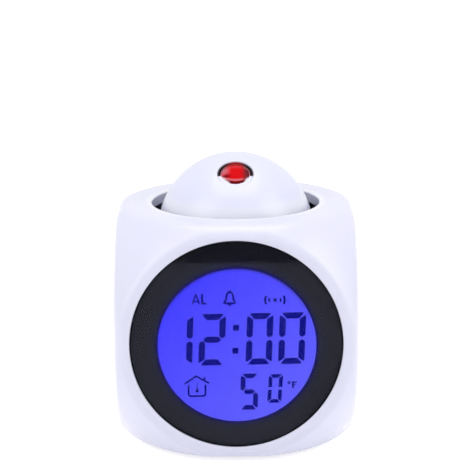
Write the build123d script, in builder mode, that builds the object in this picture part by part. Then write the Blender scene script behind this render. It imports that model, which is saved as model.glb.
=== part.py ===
"""Projection alarm clock: a softened cube with a round LCD window and a swivelling projector ball.

Frame: millimetres, +Z up, origin on the table under the middle of the case, display towards -Y.
"""

import os

from build123d import *

os.makedirs("parts", exist_ok=True)

# ---------------------------------------------------------------- driving dimensions
case_width = 80.0  # along X and along Y
case_height = 79.0
corner_sphere_r = 55.1  # the sphere that trims the eight corners of the cube
edge_round = 5.0
wall = 2.2
foot_height = 1.5  # how far the feet stand out of the base
running_gap = 0.05  # radial clearance of a shaft in its bearing
part_gap = 0.3  # free gap between pieces that move past each other

ball_r = 26.3
ball_z = 70.7
ball_wall = 1.8
ball_inner_r = ball_r - ball_wall
pivot_pad_r = 4.8
opening_r = 28.4  # round opening in the top of the case
rim_round = 0.6
lens_tilt = 31.3  # degrees from vertical towards the display
lens_hole_r = 6.0
lens_r = 4.4
lens_edge_d = 25.0  # distances marked d run out from the ball's centre along the optical axis
lens_back_d = 22.0
lens_rise = 1.0
lens_clear_r = 4.0  # light path through the seat that carries the lens
lens_seat_t = 1.0
lens_ring_r = 4.95
lens_ring_t = 0.45
lens_ring_d = 25.35
funnel_r = 5.95
funnel_flange_r = 7.2
funnel_wall = 0.4
funnel_rim_d = 25.2
funnel_floor_t = 1.1
barrel_r = 6.2
barrel_bore_r = 5.2
projector_board_r = 14.0
projector_board_d = -3.0
board_post_ring_r = 11.0
ball_screw_y = 19.5
ball_screw_r = 0.9
ball_screw_length = 12.0
ball_boss_r = 2.6
ball_screw_seat_d = -5.0
ball_lip_t = 0.8
ball_lip_h = 1.2
condenser_d = 7.5
condenser_t = 3.0
condenser_curve_r = 10.0
projection_lcd_d = 12.0
projection_lcd_size = 7.0
projection_lcd_t = 1.1
led_r = 2.5
led_length = 6.0

window_r = 34.75
window_t = 1.3
mask_t = 0.3
view_r = 26.0  # visible circle of the display

cell_r = 5.25  # AAA cell
cell_length = 44.5
cell_pitch = 10.8
cell_nub_r = 1.9
cell_nub_h = 0.9
cell_edge = 0.5
contact_width = 7.0
contact_height = 8.4
contact_t = 0.4
contact_spring_r = 2.9
contact_turn_r = 0.5
contact_turn_h = 0.55

# ---------------------------------------------------------------- derived places
case_z = foot_height + case_height / 2
half = case_width / 2
inner_y = half - wall
seam_lip_t = 1.0
seam_lip_h = 1.5
groove_depth = 0.35
groove_width = 0.4
foot_r = 4.0
foot_seat = 0.8
foot_offset = 20.0

front_face = -half
seat_y = front_face + 0.1 + window_t + mask_t  # back of the window stack
ledge_y = seat_y + 1.1  # back of the wall that carries the window

lcd_size = 53.4
lcd_t = 2.2
lcd_ledge = 2.4
guide_width = 49.0
guide_height = 47.0
bead_y = 35.5
lcd_y = ledge_y + 0.05
frame_size = 57.0
frame_depth = 5.5
guide_t = 2.4
guide_y = lcd_y + lcd_t + 0.1
board_t = 1.6
board_y = lcd_y + frame_depth + 0.05
board_ear_x = 31.2
board_ear_z = 8.0
corner_cut = 7.0
frame_cut = 8.2
led_width = 1.4
led_height = 3.2
led_pitch = 14.0
zebra_length = 36.0
chip_r = 6.0
chip_h = 1.3
crystal_r = 1.0
crystal_length = 6.0
capacitor_r = 2.5
capacitor_h = 7.0
bead_r = 1.3
lead_r = 0.3
lead_pitch = 1.4

screw_x = 33.2
screw_dz = 18.0
boss_r = 3.2
pilot_r = 1.15
screw_recess_r = 3.0
screw_seat_y = 12.0
screw_length = 20.0
screw_head_r = 2.6
screw_head_h = 1.8
cross_length = 2.6
cross_width = 0.5
cross_depth = 0.9
rib_t = 1.6
post_r = 1.9
small_pilot_r = 0.85
small_screw_length = 4.0
small_head_r = 1.8
small_head_h = 1.2
pillar_x = 26.0
pillar_y = 17.0
carrier_screw_length = 8.0
carrier_head_r = 2.35
carrier_head_h = 1.6
shelf_inner_x = 31.0
shelf_x = (shelf_inner_x + half - wall + 0.6) / 2
shelf_y = 13.0
shelf_length = 12.0
shelf_t = 2.0

collar_wall = 1.6
collar_z = 77.0

bowl_inner_r = ball_r + 0.8
bowl_wall = 1.8
bowl_outer_r = bowl_inner_r + bowl_wall
bowl_rim_z = ball_z - 2.7
flange_r = 24.2
flange_z = 40.2
flange_t = 2.0
guide_pin_r = 1.9
guide_pin_x = 18.0
guide_pin_y = 13.0
carrier_z = 34.0
carrier_t = 2.0
carrier_top = carrier_z + carrier_t
bush_depth = 1.5
bush_r = 3.4
carrier_width = 62.0
carrier_depth = 42.0
snooze_board_t = 1.2
snooze_board_size = 16.0
rib_foot_r = 10.0
rib_rise = 17.8
ear_depth = 4.7
pivot_r = 3.0
pivot_bore_r = 1.6
ear_r = 4.2
ear_inner_x = 27.3
ear_outer_x = 30.6
washer_t = 0.8
spring_coils = 4
spring_r = 2.7
coil_overlap = 0.05

door_width = 51.0
door_height = 34.0
door_z = 34.0
door_t = 1.9
door_corner = 5.0
door_gap = 0.3
pocket_y = 26.3
pocket_wall = 1.5
pocket_x = door_width / 2 - 0.75
pocket_half_z = 16.25
cell_y = pocket_y + cell_r + 0.05
saddle_t = 4.0
latch_width = 13.0
latch_slot = 1.0
latch_length = 8.0
latch_top_z = door_z + door_height / 2 - door_gap
hinge_z = door_z - door_height / 2 + door_gap + door_t / 2
hinge_y = half - door_t / 2
hinge_pin_r = 0.6
hinge_pin_length = 0.9

panel_y = 30.2  # inner face of the button board
panel_t = 1.2
panel_front = panel_y + panel_t
button_z = 57.7
button_width = 9.6
button_height = 5.6
button_proud = 0.8
button_travel = 0.5
button_gap = 0.25
knob_width = 4.0
knob_height = 2.8
sound_hole_r = 0.75
sound_ring_r = 3.2
air_slot_z = 10.5
air_slot_pitch = 3.0
air_slot_length = 5.0
air_slot_width = 1.1
button_x = {"mode": -21.6, "alarm": -7.2, "down": 7.2, "up": 21.6}
switch_x = -11.0
switch_z = 69.0
switch_travel = 4.0
buzzer_x = 10.5
buzzer_z = 68.0
buzzer_r = 5.5
panel_post_x = 24.0
panel_post_z = 71.0
panel_mid_z = 63.4
panel_width = 53.0
panel_height = 20.4
tact_size = 4.5
tact_height = 3.0
plunger_r = 1.0
plunger_depth = 1.6
plunger_proud = 0.8
key_flange_t = 0.9
key_stem_r = 1.7
switch_height = 3.2
switch_length = 10.0
switch_depth = 5.0
switch_tongue = 2.0
switch_tongue_h = 1.2
buzzer_height = 5.5
buzzer_port_r = 1.0


def front_at(y):
    """Plane across the clock at a given Y, seen from the front: local x is +X, local y is +Z."""
    return Plane(origin=(0, y, case_z), x_dir=(1, 0, 0), z_dir=(0, -1, 0))


def rear_at(y):
    """Plane across the clock at a given Y, seen from behind: local x is -X, local y is +Z."""
    return Plane(origin=(0, y, case_z), x_dir=(-1, 0, 0), z_dir=(0, 1, 0))


def level_at(z):
    """Horizontal plane at a given height."""
    return Plane.XY.offset(z)


lens_axis = Plane(origin=(0, 0, ball_z), x_dir=(1, 0, 0), z_dir=Vector(0, 0, 1).rotate(Axis.X, lens_tilt))


def along_lens(distance):
    """Plane across the projector's optical axis, a given distance out from the ball's centre."""
    return lens_axis.offset(distance)


# ---------------------------------------------------------------- the common form of the case
with BuildPart() as case_core:
    with Locations((0, 0, case_z)):
        Box(
            case_width - 2 * edge_round,
            case_width - 2 * edge_round,
            case_height - 2 * edge_round,
        )
        Sphere(corner_sphere_r - edge_round, mode=Mode.INTERSECT)


def case_skin(depth):
    """The closed form of the case, a given depth under its outer surface."""
    with BuildPart() as skin:
        add(case_core.part)
        offset(amount=edge_round - depth, kind=Kind.ARC)
    return skin.part


outer_skin = case_skin(0)
inner_skin = case_skin(wall)
lip_skin = case_skin(wall - seam_lip_t)
rabbet_skin = case_skin(wall - seam_lip_t - 0.1)
groove_skin = case_skin(groove_depth)
outside_skin = case_skin(-0.5)

# The whole thin shell with the collar of the top opening, before it is parted at the seam.
with BuildPart() as case_shell:
    add(outer_skin)
    add(inner_skin, mode=Mode.SUBTRACT)
    with BuildSketch(level_at(collar_z)):
        Circle(opening_r + collar_wall)
    extrude(until=Until.NEXT)
    with BuildSketch(level_at(collar_z - 1)):
        Circle(opening_r)
    extrude(amount=case_height, mode=Mode.SUBTRACT)
    rim = case_shell.edges().filter_by(GeomType.CIRCLE).group_by(Axis.Z)[-1].sort_by(SortBy.RADIUS)[0]
    fillet(rim, radius=rim_round)
    with BuildSketch(level_at(foot_height)):
        with GridLocations(2 * foot_offset, 2 * foot_offset, 2, 2):
            Circle(foot_r + 0.05)
    extrude(amount=foot_seat, mode=Mode.SUBTRACT)

# A shallow groove that marks the seam on the outside, cut from both halves.
with BuildPart() as seam_groove:
    add(outside_skin)
    add(groove_skin, mode=Mode.SUBTRACT)
    with BuildSketch(front_at(-groove_width / 2)):
        Rectangle(2 * case_width, 2 * case_height)
    extrude(amount=-groove_width, mode=Mode.INTERSECT)

# The lip of the front half enters this rabbet of the rear half.
with BuildPart() as seam_lip:
    add(lip_skin)
    add(inner_skin, mode=Mode.SUBTRACT)
    with BuildSketch(front_at(0)):
        Rectangle(2 * case_width, 2 * case_height)
    extrude(amount=-seam_lip_h, mode=Mode.INTERSECT)
    with BuildSketch(level_at(collar_z - 1)):
        Circle(opening_r + collar_wall + 0.2)
    extrude(amount=10, mode=Mode.SUBTRACT)

with BuildPart() as seam_rabbet:
    add(rabbet_skin)
    add(inner_skin, mode=Mode.SUBTRACT)
    with BuildSketch(front_at(0)):
        Rectangle(2 * case_width, 2 * case_height)
    extrude(amount=-seam_lip_h - 0.1, mode=Mode.INTERSECT)
    with BuildSketch(level_at(collar_z - 1)):
        Circle(opening_r + collar_wall)
    extrude(amount=10, mode=Mode.SUBTRACT)


def wall_bosses(plane, places, radius, rib_height, length):
    """Round bosses with a rib to the nearer side wall, trimmed to end inside the case wall."""
    with BuildPart() as bosses:
        with BuildSketch(plane):
            with Locations(*places):
                Circle(radius)
            for x, z in places:
                side = 1 if x > 0 else -1
                with Locations((side * (abs(x) + half - wall) / 2, z)):
                    Rectangle(half - wall - abs(x) + 0.4, rib_height)
        extrude(amount=length)
        add(lip_skin, mode=Mode.INTERSECT)
    return bosses.part


screw_places = [(sx * screw_x, sz * screw_dz) for sx in (-1, 1) for sz in (-1, 1)]
board_places = [(sx * board_ear_x, sz * board_ear_z) for sx in (-1, 1) for sz in (-1, 1)]
pillar_places = [(sx * pillar_x, -pillar_y) for sx in (-1, 1)]

# ---------------------------------------------------------------- front half of the case
front_bosses = wall_bosses(front_at(0), screw_places, boss_r, rib_t, inner_y)

with BuildPart() as front_case:
    add(case_shell.part)
    split(bisect_by=Plane.XZ, keep=Keep.TOP)
    add(seam_groove.part, mode=Mode.SUBTRACT)
    add(seam_lip.part)
    add(front_bosses)
    with BuildSketch(front_at(-inner_y - 0.2)):
        Circle(window_r + 1.4)
    extrude(amount=-(ledge_y + inner_y + 0.2))
    with BuildSketch(front_at(ledge_y - 0.3)):
        with Locations(*board_places):
            Circle(post_r)
    extrude(amount=-(board_y - ledge_y + 0.3))
    with BuildSketch(level_at(foot_height + wall - 0.3)):
        with Locations(*pillar_places):
            Circle(boss_r)
    extrude(amount=carrier_z - foot_height - wall + 0.3)
    with BuildSketch(front_at(front_face - 1)):
        Circle(window_r + 0.1)
    extrude(amount=-(seat_y - front_face + 1), mode=Mode.SUBTRACT)
    with BuildSketch(front_at(front_face)):
        Circle(view_r + 1)
    extrude(amount=-4 * wall, mode=Mode.SUBTRACT)
    with BuildSketch(front_at(0)):
        with Locations(*screw_places):
            Circle(pilot_r)
    extrude(amount=screw_length - screw_seat_y + 2, mode=Mode.SUBTRACT)
    with BuildSketch(front_at(board_y)):
        with Locations(*board_places):
            Circle(small_pilot_r)
    extrude(amount=small_screw_length, mode=Mode.SUBTRACT)
    with BuildSketch(level_at(carrier_z)):
        with Locations(*pillar_places):
            Circle(pilot_r)
    extrude(amount=-carrier_screw_length, mode=Mode.SUBTRACT)
front_case.part.label = "front_case"
export_step(front_case.part, "parts/front_case.step")

# ---------------------------------------------------------------- rear half of the case
rear_screw_places = [(-x, z) for x, z in screw_places]
rear_bosses = wall_bosses(rear_at(0), rear_screw_places, screw_recess_r + 1.2, rib_t, half)
panel_places = [(sx * panel_post_x, panel_post_z - case_z) for sx in (-1, 1)]

with BuildPart() as rear_case:
    add(case_shell.part)
    split(bisect_by=Plane.XZ, keep=Keep.BOTTOM)
    add(rear_bosses)
    add(seam_rabbet.part, mode=Mode.SUBTRACT)
    add(seam_groove.part, mode=Mode.SUBTRACT)
    # battery pocket: a tray that hangs inside the rear wall
    with BuildSketch(rear_at(pocket_y - pocket_wall)):
        with Locations((0, door_z - case_z)):
            RectangleRounded(2 * (pocket_x + pocket_wall), 2 * (pocket_half_z + pocket_wall), 2)
    extrude(amount=inner_y + 0.3 - pocket_y + pocket_wall)
    with BuildSketch(rear_at(pocket_y)):
        with Locations((0, door_z - case_z)):
            RectangleRounded(2 * pocket_x, 2 * pocket_half_z, 1)
    extrude(amount=case_width, mode=Mode.SUBTRACT)
    with BuildSketch(rear_at(half - door_t - 0.1)) as door_hole:
        with Locations((0, door_z - case_z)):
            Rectangle(door_width, door_height)
        fillet(door_hole.vertices().group_by(Axis.Y)[-1], radius=door_corner)
    extrude(amount=case_width, mode=Mode.SUBTRACT)
    # curved saddles that cradle the cells on the tray's floor
    for row in (-1, 0, 1):
        with BuildSketch(Plane.YZ.offset(-saddle_t / 2)):
            with Locations((pocket_y + cell_r / 2 - 0.3, door_z + row * cell_pitch)):
                Rectangle(cell_r + 0.6, cell_pitch - 0.2)
            with Locations((cell_y, door_z + row * cell_pitch)):
                Circle(cell_r + 0.05, mode=Mode.SUBTRACT)
        extrude(amount=saddle_t)
    # shelves for the spring carrier
    with BuildSketch(level_at(carrier_z)):
        with Locations((-shelf_x, shelf_y), (shelf_x, shelf_y)):
            Rectangle(inner_y - shelf_inner_x + 0.6, shelf_length)
    extrude(amount=-shelf_t)
    # posts for the button board
    with BuildSketch(rear_at(panel_front)):
        with Locations(*panel_places):
            Circle(post_r)
    extrude(amount=inner_y - panel_front - 0.6)
    with BuildSketch(rear_at(panel_front)):
        with Locations(*panel_places):
            Circle(small_pilot_r)
    extrude(amount=small_screw_length, mode=Mode.SUBTRACT)
    # screw tunnels
    with BuildSketch(rear_at(screw_seat_y)):
        with Locations(*rear_screw_places):
            Circle(screw_recess_r)
    extrude(amount=case_width, mode=Mode.SUBTRACT)
    with BuildSketch(rear_at(0)):
        with Locations(*rear_screw_places):
            Circle(pilot_r + 0.45)
    extrude(amount=screw_seat_y, mode=Mode.SUBTRACT)
    # keyholes, switch slot, sound holes and air slots in the rear wall
    with BuildSketch(rear_at(inner_y - 1)):
        for x in button_x.values():
            with Locations((-x, button_z - case_z)):
                SlotOverall(button_width + 2 * button_gap, button_height + 2 * button_gap)
        with Locations((-switch_x, switch_z - case_z)):
            RectangleRounded(knob_width + switch_travel + 2 * button_gap, knob_height + 2 * button_gap, 0.5)
        with Locations((-buzzer_x, buzzer_z - case_z)):
            Circle(sound_hole_r)
            with PolarLocations(sound_ring_r, 8):
                Circle(sound_hole_r)
        with Locations((0, air_slot_z - case_z)):
            with GridLocations(air_slot_pitch, 1, 5, 1):
                SlotOverall(air_slot_length, air_slot_width, rotation=90)
    extrude(amount=2 * wall, mode=Mode.SUBTRACT)
    # bearings for the door's hinge pins
    with BuildSketch(Plane.YZ.offset(-door_width / 2 - hinge_pin_length - 0.1)):
        with Locations((hinge_y, hinge_z)):
            Circle(hinge_pin_r + running_gap)
    extrude(amount=door_width + 2 * hinge_pin_length + 0.2, mode=Mode.SUBTRACT)
rear_case.part.label = "rear_case"
export_step(rear_case.part, "parts/rear_case.step")

with BuildPart() as case_screws:
    with BuildSketch(rear_at(screw_seat_y)):
        with Locations(*rear_screw_places):
            Circle(screw_head_r)
    extrude(amount=screw_head_h)
    heads = case_screws.faces().sort_by(Axis.Y)[-4:]
    fillet(heads.edges(), radius=0.6)
    with BuildSketch(rear_at(screw_seat_y)):
        with Locations(*rear_screw_places):
            Circle(pilot_r - running_gap)
    extrude(amount=-screw_length)
    with BuildSketch(rear_at(screw_seat_y + screw_head_h)):
        with Locations(*rear_screw_places):
            Rectangle(cross_length, cross_width)
            Rectangle(cross_width, cross_length)
    extrude(amount=-cross_depth, mode=Mode.SUBTRACT)
case_screws.part.label = "case_screws"
export_step(case_screws.part, "parts/case_screws.step")

with BuildPart() as rubber_feet:
    with BuildSketch(level_at(0)):
        with GridLocations(2 * foot_offset, 2 * foot_offset, 2, 2):
            Circle(foot_r)
    extrude(amount=foot_height + foot_seat - 0.02)
    fillet(rubber_feet.edges().group_by(Axis.Z)[0], radius=0.4)
rubber_feet.part.label = "rubber_feet"
export_step(rubber_feet.part, "parts/rubber_feet.step")

# ---------------------------------------------------------------- display stack
with BuildPart() as display_window:
    with BuildSketch(front_at(seat_y - mask_t)):
        Circle(window_r)
    extrude(amount=window_t)
    fillet(display_window.edges().group_by(Axis.Y)[0], radius=0.25)
display_window.part.label = "display_window"
export_step(display_window.part, "parts/display_window.step")

with BuildPart() as window_mask:
    with BuildSketch(front_at(seat_y)):
        Circle(window_r)
        Circle(view_r, mode=Mode.SUBTRACT)
    extrude(amount=mask_t)
window_mask.part.label = "window_mask"
export_step(window_mask.part, "parts/window_mask.step")


def cut_square(width, height, cut):
    """Rectangle with its four corners cut off, as the round cavity in front needs."""
    with BuildSketch(Plane.XY) as square:
        Rectangle(width, height)
        chamfer(square.vertices(), length=cut)
    return square.sketch


with BuildPart() as lcd_glass:
    with BuildSketch(front_at(lcd_y + lcd_t / 2)):
        add(cut_square(lcd_size, lcd_size, corner_cut))
    extrude(amount=lcd_t / 2)
    with BuildSketch(front_at(lcd_y + lcd_t)):
        add(cut_square(lcd_size, lcd_size - 2 * lcd_ledge, corner_cut - lcd_ledge))
    extrude(amount=lcd_t / 2)
lcd_glass.part.label = "lcd_glass"
export_step(lcd_glass.part, "parts/lcd_glass.step")

with BuildPart() as lcd_frame:
    with BuildSketch(front_at(lcd_y + frame_depth)):
        add(cut_square(frame_size, frame_size, frame_cut))
        add(cut_square(lcd_size + 0.2, lcd_size + 0.2, corner_cut), mode=Mode.SUBTRACT)
    extrude(amount=frame_depth)
lcd_frame.part.label = "lcd_frame"
export_step(lcd_frame.part, "parts/lcd_frame.step")

with BuildPart() as light_guide:
    with BuildSketch(front_at(guide_y + guide_t)):
        add(cut_square(guide_width, guide_height, corner_cut))
    extrude(amount=guide_t)
light_guide.part.label = "light_guide"
export_step(light_guide.part, "parts/light_guide.step")

with BuildPart() as backlight_leds:
    for side in (-1, 1):
        with BuildSketch(front_at(board_y)):
            with Locations((side * (guide_width / 2 + 0.9), 0)):
                with GridLocations(1, led_pitch, 1, 3):
                    Rectangle(led_width, led_height)
        extrude(amount=board_y - guide_y - 0.3)
backlight_leds.part.label = "backlight_leds"
export_step(backlight_leds.part, "parts/backlight_leds.step")

with BuildPart() as zebra_strips:
    with BuildSketch(front_at(board_y)):
        with GridLocations(1, lcd_size - lcd_ledge, 1, 2):
            Rectangle(zebra_length, lcd_ledge - 0.4)
    extrude(amount=board_y - lcd_y - lcd_t / 2)
zebra_strips.part.label = "zebra_strips"
export_step(zebra_strips.part, "parts/zebra_strips.step")

with BuildPart() as main_board:
    with BuildSketch(front_at(board_y + board_t)):
        add(cut_square(frame_size, frame_size, frame_cut))
        RectangleRounded(2 * (board_ear_x + post_r), 2 * (board_ear_z + post_r), post_r)
        with Locations(*board_places):
            Circle(small_pilot_r + 0.25, mode=Mode.SUBTRACT)
    extrude(amount=board_t)
main_board.part.label = "main_board"
export_step(main_board.part, "parts/main_board.step")

with BuildPart() as board_screws:
    with BuildSketch(front_at(board_y + board_t)):
        with Locations(*board_places):
            Circle(small_head_r)
    extrude(amount=-small_head_h)
    fillet(board_screws.edges().group_by(Axis.Y)[-1], radius=0.4)
    with BuildSketch(front_at(board_y + board_t)):
        with Locations(*board_places):
            Circle(small_pilot_r - running_gap)
    extrude(amount=board_t + small_screw_length - 0.4)
board_screws.part.label = "board_screws"
export_step(board_screws.part, "parts/board_screws.step")

board_back = board_y + board_t
with BuildPart() as controller_chip:
    with BuildSketch(front_at(board_back)):
        with Locations((0, -9)):
            Circle(chip_r)
    extrude(amount=-chip_h, taper=35)
controller_chip.part.label = "controller_chip"
export_step(controller_chip.part, "parts/controller_chip.step")

with BuildPart() as clock_crystal:
    with BuildSketch(Plane.YZ.offset(11)):
        with Locations((board_back + crystal_r + running_gap, case_z - 19)):
            Circle(crystal_r)
    extrude(amount=crystal_length)
clock_crystal.part.label = "clock_crystal"
export_step(clock_crystal.part, "parts/clock_crystal.step")

with BuildPart() as board_capacitors:
    with BuildSketch(front_at(board_back)):
        with Locations((-12, -19), (-19, -17)):
            Circle(capacitor_r)
    extrude(amount=-capacitor_h)
    fillet(board_capacitors.edges().group_by(Axis.Y)[-1], radius=0.5)
board_capacitors.part.label = "board_capacitors"
export_step(board_capacitors.part, "parts/board_capacitors.step")

# The thermistor's two leads run back under everything to a bead behind the air slots.
with BuildPart() as thermistor:
    with BuildSketch(front_at(board_back)):
        with Locations((0, air_slot_z - case_z)):
            with GridLocations(lead_pitch, 1, 2, 1):
                Circle(lead_r)
    extrude(amount=-(bead_y - board_back))
    with Locations((0, bead_y, air_slot_z)):
        Sphere(bead_r)
thermistor.part.label = "thermistor"
export_step(thermistor.part, "parts/thermistor.step")

# ---------------------------------------------------------------- batteries and their door
for row in (-1, 0, 1):
    with BuildPart() as battery_cell:
        with BuildSketch(Plane.YZ.offset(-cell_length / 2)):
            with Locations((cell_y, door_z + row * cell_pitch)):
                Circle(cell_r)
        extrude(amount=cell_length - cell_nub_h)
        fillet(battery_cell.edges().filter_by(GeomType.CIRCLE), radius=cell_edge)
        with BuildSketch(Plane.YZ.offset(cell_length / 2 - cell_nub_h)):
            with Locations((cell_y, door_z + row * cell_pitch)):
                Circle(cell_nub_r)
        extrude(amount=cell_nub_h)
        if row == 0:
            mirror(about=Plane.YZ, mode=Mode.REPLACE)
    number = row + 2
    battery_cell.part.label = f"battery_cell_{number}"
    export_step(battery_cell.part, f"parts/battery_cell_{number}.step")

with BuildPart() as contact_plates:
    for row in (-1, 0, 1):
        side = -1 if row == 0 else 1
        with BuildSketch(Plane.YZ.offset(side * (cell_length / 2 + 0.3))):
            with Locations((cell_y, door_z + row * cell_pitch)):
                Rectangle(contact_width, contact_height)
        extrude(amount=side * contact_t)
contact_plates.part.label = "battery_contact_plates"
export_step(contact_plates.part, "parts/battery_contact_plates.step")

with BuildPart() as contact_springs:
    for row in (-1, 0, 1):
        side = 1 if row == 0 else -1
        with BuildSketch(Plane.YZ.offset(side * (pocket_x - contact_t))):
            with Locations((cell_y, door_z + row * cell_pitch)):
                Rectangle(contact_width, contact_height)
        extrude(amount=side * contact_t)
        for turn in range(3):
            with BuildSketch(Plane.YZ.offset(side * (pocket_x - contact_t))):
                with Locations((cell_y, door_z + row * cell_pitch)):
                    Circle(contact_spring_r - contact_turn_r * turn)
            extrude(amount=-side * contact_turn_h * (turn + 1))
contact_springs.part.label = "battery_contact_springs"
export_step(contact_springs.part, "parts/battery_contact_springs.step")

with BuildPart() as battery_door:
    with BuildSketch(Plane.YZ.offset(-door_width / 2 + door_gap)) as door_profile:
        with Locations((half - door_t / 2, door_z)):
            Rectangle(door_t, door_height - 2 * door_gap)
        fillet(door_profile.vertices().group_by(Axis.Y)[0], radius=door_t / 2 - 0.01)
    extrude(amount=door_width - 2 * door_gap)
    fillet(battery_door.edges().filter_by(Axis.Y).group_by(Axis.Z)[-1], radius=door_corner - door_gap)
    # finger latch: a tongue freed by two slots, with grip ridges and a nose behind
    with BuildSketch(rear_at(half - door_t - 1)):
        with Locations((0, latch_top_z - case_z)):
            with GridLocations(latch_width + latch_slot, 1, 2, 1):
                with Locations((0, -latch_length / 2)):
                    Rectangle(latch_slot, latch_length)
    extrude(amount=2 * door_t, mode=Mode.SUBTRACT)
    with BuildSketch(rear_at(half)):
        with Locations((0, latch_top_z - case_z - latch_length / 2)):
            Rectangle(latch_width - 1.6, latch_length - 1.2)
    extrude(amount=-0.6, taper=20, mode=Mode.SUBTRACT)
    with BuildSketch(rear_at(half - 0.7)):
        with Locations((0, latch_top_z - case_z - latch_length / 2)):
            with GridLocations(1, 1.5, 1, 4):
                Rectangle(latch_width - 3.2, 0.6)
    extrude(amount=0.6)
    with BuildSketch(rear_at(half - door_t)):
        with Locations((0, latch_top_z - case_z - 1.2)):
            Rectangle(latch_width - 2, 1.2)
    extrude(amount=-1.2)
    # ribs that press the cells down on their saddles
    with BuildSketch(rear_at(half - door_t)):
        with Locations((0, door_z - case_z)):
            with GridLocations(26, 1, 2, 1):
                Rectangle(1.2, door_height - 9)
    extrude(amount=-(half - door_t - cell_y - cell_r - 0.15))
    # hinge pins in the door's lower corners
    with BuildSketch(Plane.YZ.offset(-door_width / 2 - hinge_pin_length + door_gap)):
        with Locations((hinge_y, hinge_z)):
            Circle(hinge_pin_r)
    extrude(amount=door_width + 2 * hinge_pin_length - 2 * door_gap)
battery_door.part.label = "battery_door"
export_step(battery_door.part, "parts/battery_door.step")

# ---------------------------------------------------------------- button board and keys
with BuildPart() as button_board:
    with BuildSketch(rear_at(panel_front)):
        with Locations((0, panel_mid_z - case_z)):
            RectangleRounded(panel_width, panel_height, 2)
        with Locations(*panel_places):
            Circle(small_pilot_r + 0.25, mode=Mode.SUBTRACT)
    extrude(amount=-panel_t)
button_board.part.label = "button_board"
export_step(button_board.part, "parts/button_board.step")

with BuildPart() as button_board_screws:
    with BuildSketch(rear_at(panel_y)):
        with Locations(*panel_places):
            Circle(small_head_r)
    extrude(amount=-small_head_h)
    fillet(button_board_screws.edges().group_by(Axis.Y)[0], radius=0.4)
    with BuildSketch(rear_at(panel_y)):
        with Locations(*panel_places):
            Circle(small_pilot_r - running_gap)
    extrude(amount=panel_t + small_screw_length - 0.6)
button_board_screws.part.label = "button_board_screws"
export_step(button_board_screws.part, "parts/button_board_screws.step")

with BuildPart() as tact_switches:
    with BuildSketch(rear_at(panel_front)):
        for x in button_x.values():
            with Locations((-x, button_z - case_z)):
                Rectangle(tact_size, tact_size)
    extrude(amount=tact_height)
    with BuildSketch(rear_at(panel_front + tact_height)):
        for x in button_x.values():
            with Locations((-x, button_z - case_z)):
                Circle(plunger_r + running_gap)
    extrude(amount=-plunger_depth, mode=Mode.SUBTRACT)
tact_switches.part.label = "tact_switches"
export_step(tact_switches.part, "parts/tact_switches.step")

plunger_top = panel_front + tact_height + plunger_proud
for key, x in button_x.items():
    with BuildPart() as plunger:
        with BuildSketch(rear_at(plunger_top)):
            with Locations((-x, button_z - case_z)):
                Circle(plunger_r)
        extrude(amount=-(plunger_proud + plunger_depth - button_travel - 0.1))
    plunger.part.label = f"{key}_plunger"
    export_step(plunger.part, f"parts/{key}_plunger.step")

    with BuildPart() as key_cap:
        with BuildSketch(rear_at(inner_y - part_gap)):
            with Locations((-x, button_z - case_z)):
                SlotOverall(button_width, button_height)
        extrude(amount=wall + part_gap + button_proud)
        fillet(key_cap.edges().group_by(Axis.Y)[-1], radius=0.6)
        with BuildSketch(rear_at(inner_y - part_gap)):
            with Locations((-x, button_z - case_z)):
                SlotOverall(button_width + 2.2, button_height + 1.8)
        extrude(amount=-key_flange_t)
        with BuildSketch(rear_at(inner_y - part_gap - key_flange_t)):
            with Locations((-x, button_z - case_z)):
                Circle(key_stem_r)
        extrude(amount=-(inner_y - part_gap - key_flange_t - plunger_top))
    key_cap.part.label = f"{key}_key"
    export_step(key_cap.part, f"parts/{key}_key.step")

with BuildPart() as switch_base:
    with BuildSketch(rear_at(panel_front)):
        with Locations((-switch_x, switch_z - case_z)):
            Rectangle(switch_length, switch_depth)
    extrude(amount=switch_height)
    with BuildSketch(rear_at(panel_front + switch_height)):
        with Locations((-switch_x, switch_z - case_z)):
            Rectangle(switch_tongue + switch_travel + 0.4, switch_tongue + 0.4)
    extrude(amount=-switch_tongue_h - 0.2, mode=Mode.SUBTRACT)
switch_base.part.label = "projection_switch_base"
export_step(switch_base.part, "parts/projection_switch_base.step")

with BuildPart() as switch_knob:
    with BuildSketch(rear_at(half + button_proud)):
        with Locations((-switch_x + switch_travel / 2, switch_z - case_z)):
            RectangleRounded(knob_width, knob_height, 0.5)
    extrude(amount=-(half + button_proud - panel_front - switch_height - 0.2))
    with BuildSketch(rear_at(panel_front + switch_height + 0.2)):
        with Locations((-switch_x + switch_travel / 2, switch_z - case_z)):
            Rectangle(switch_tongue, switch_tongue)
    extrude(amount=-switch_tongue_h)
    with BuildSketch(rear_at(half + button_proud)):
        with Locations((-switch_x + switch_travel / 2, switch_z - case_z)):
            with GridLocations(1.2, 1, 3, 1):
                Rectangle(0.4, knob_height)
    extrude(amount=-0.35, mode=Mode.SUBTRACT)
switch_knob.part.label = "projection_switch_knob"
export_step(switch_knob.part, "parts/projection_switch_knob.step")

with BuildPart() as buzzer:
    with BuildSketch(rear_at(panel_front)):
        with Locations((-buzzer_x, buzzer_z - case_z)):
            Circle(buzzer_r)
    extrude(amount=buzzer_height)
    fillet(buzzer.edges().group_by(Axis.Y)[-1], radius=0.5)
    with BuildSketch(rear_at(panel_front + buzzer_height)):
        with Locations((-buzzer_x, buzzer_z - case_z)):
            Circle(buzzer_port_r)
    extrude(amount=-1.5, mode=Mode.SUBTRACT)
buzzer.part.label = "buzzer"
export_step(buzzer.part, "parts/buzzer.step")

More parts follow.
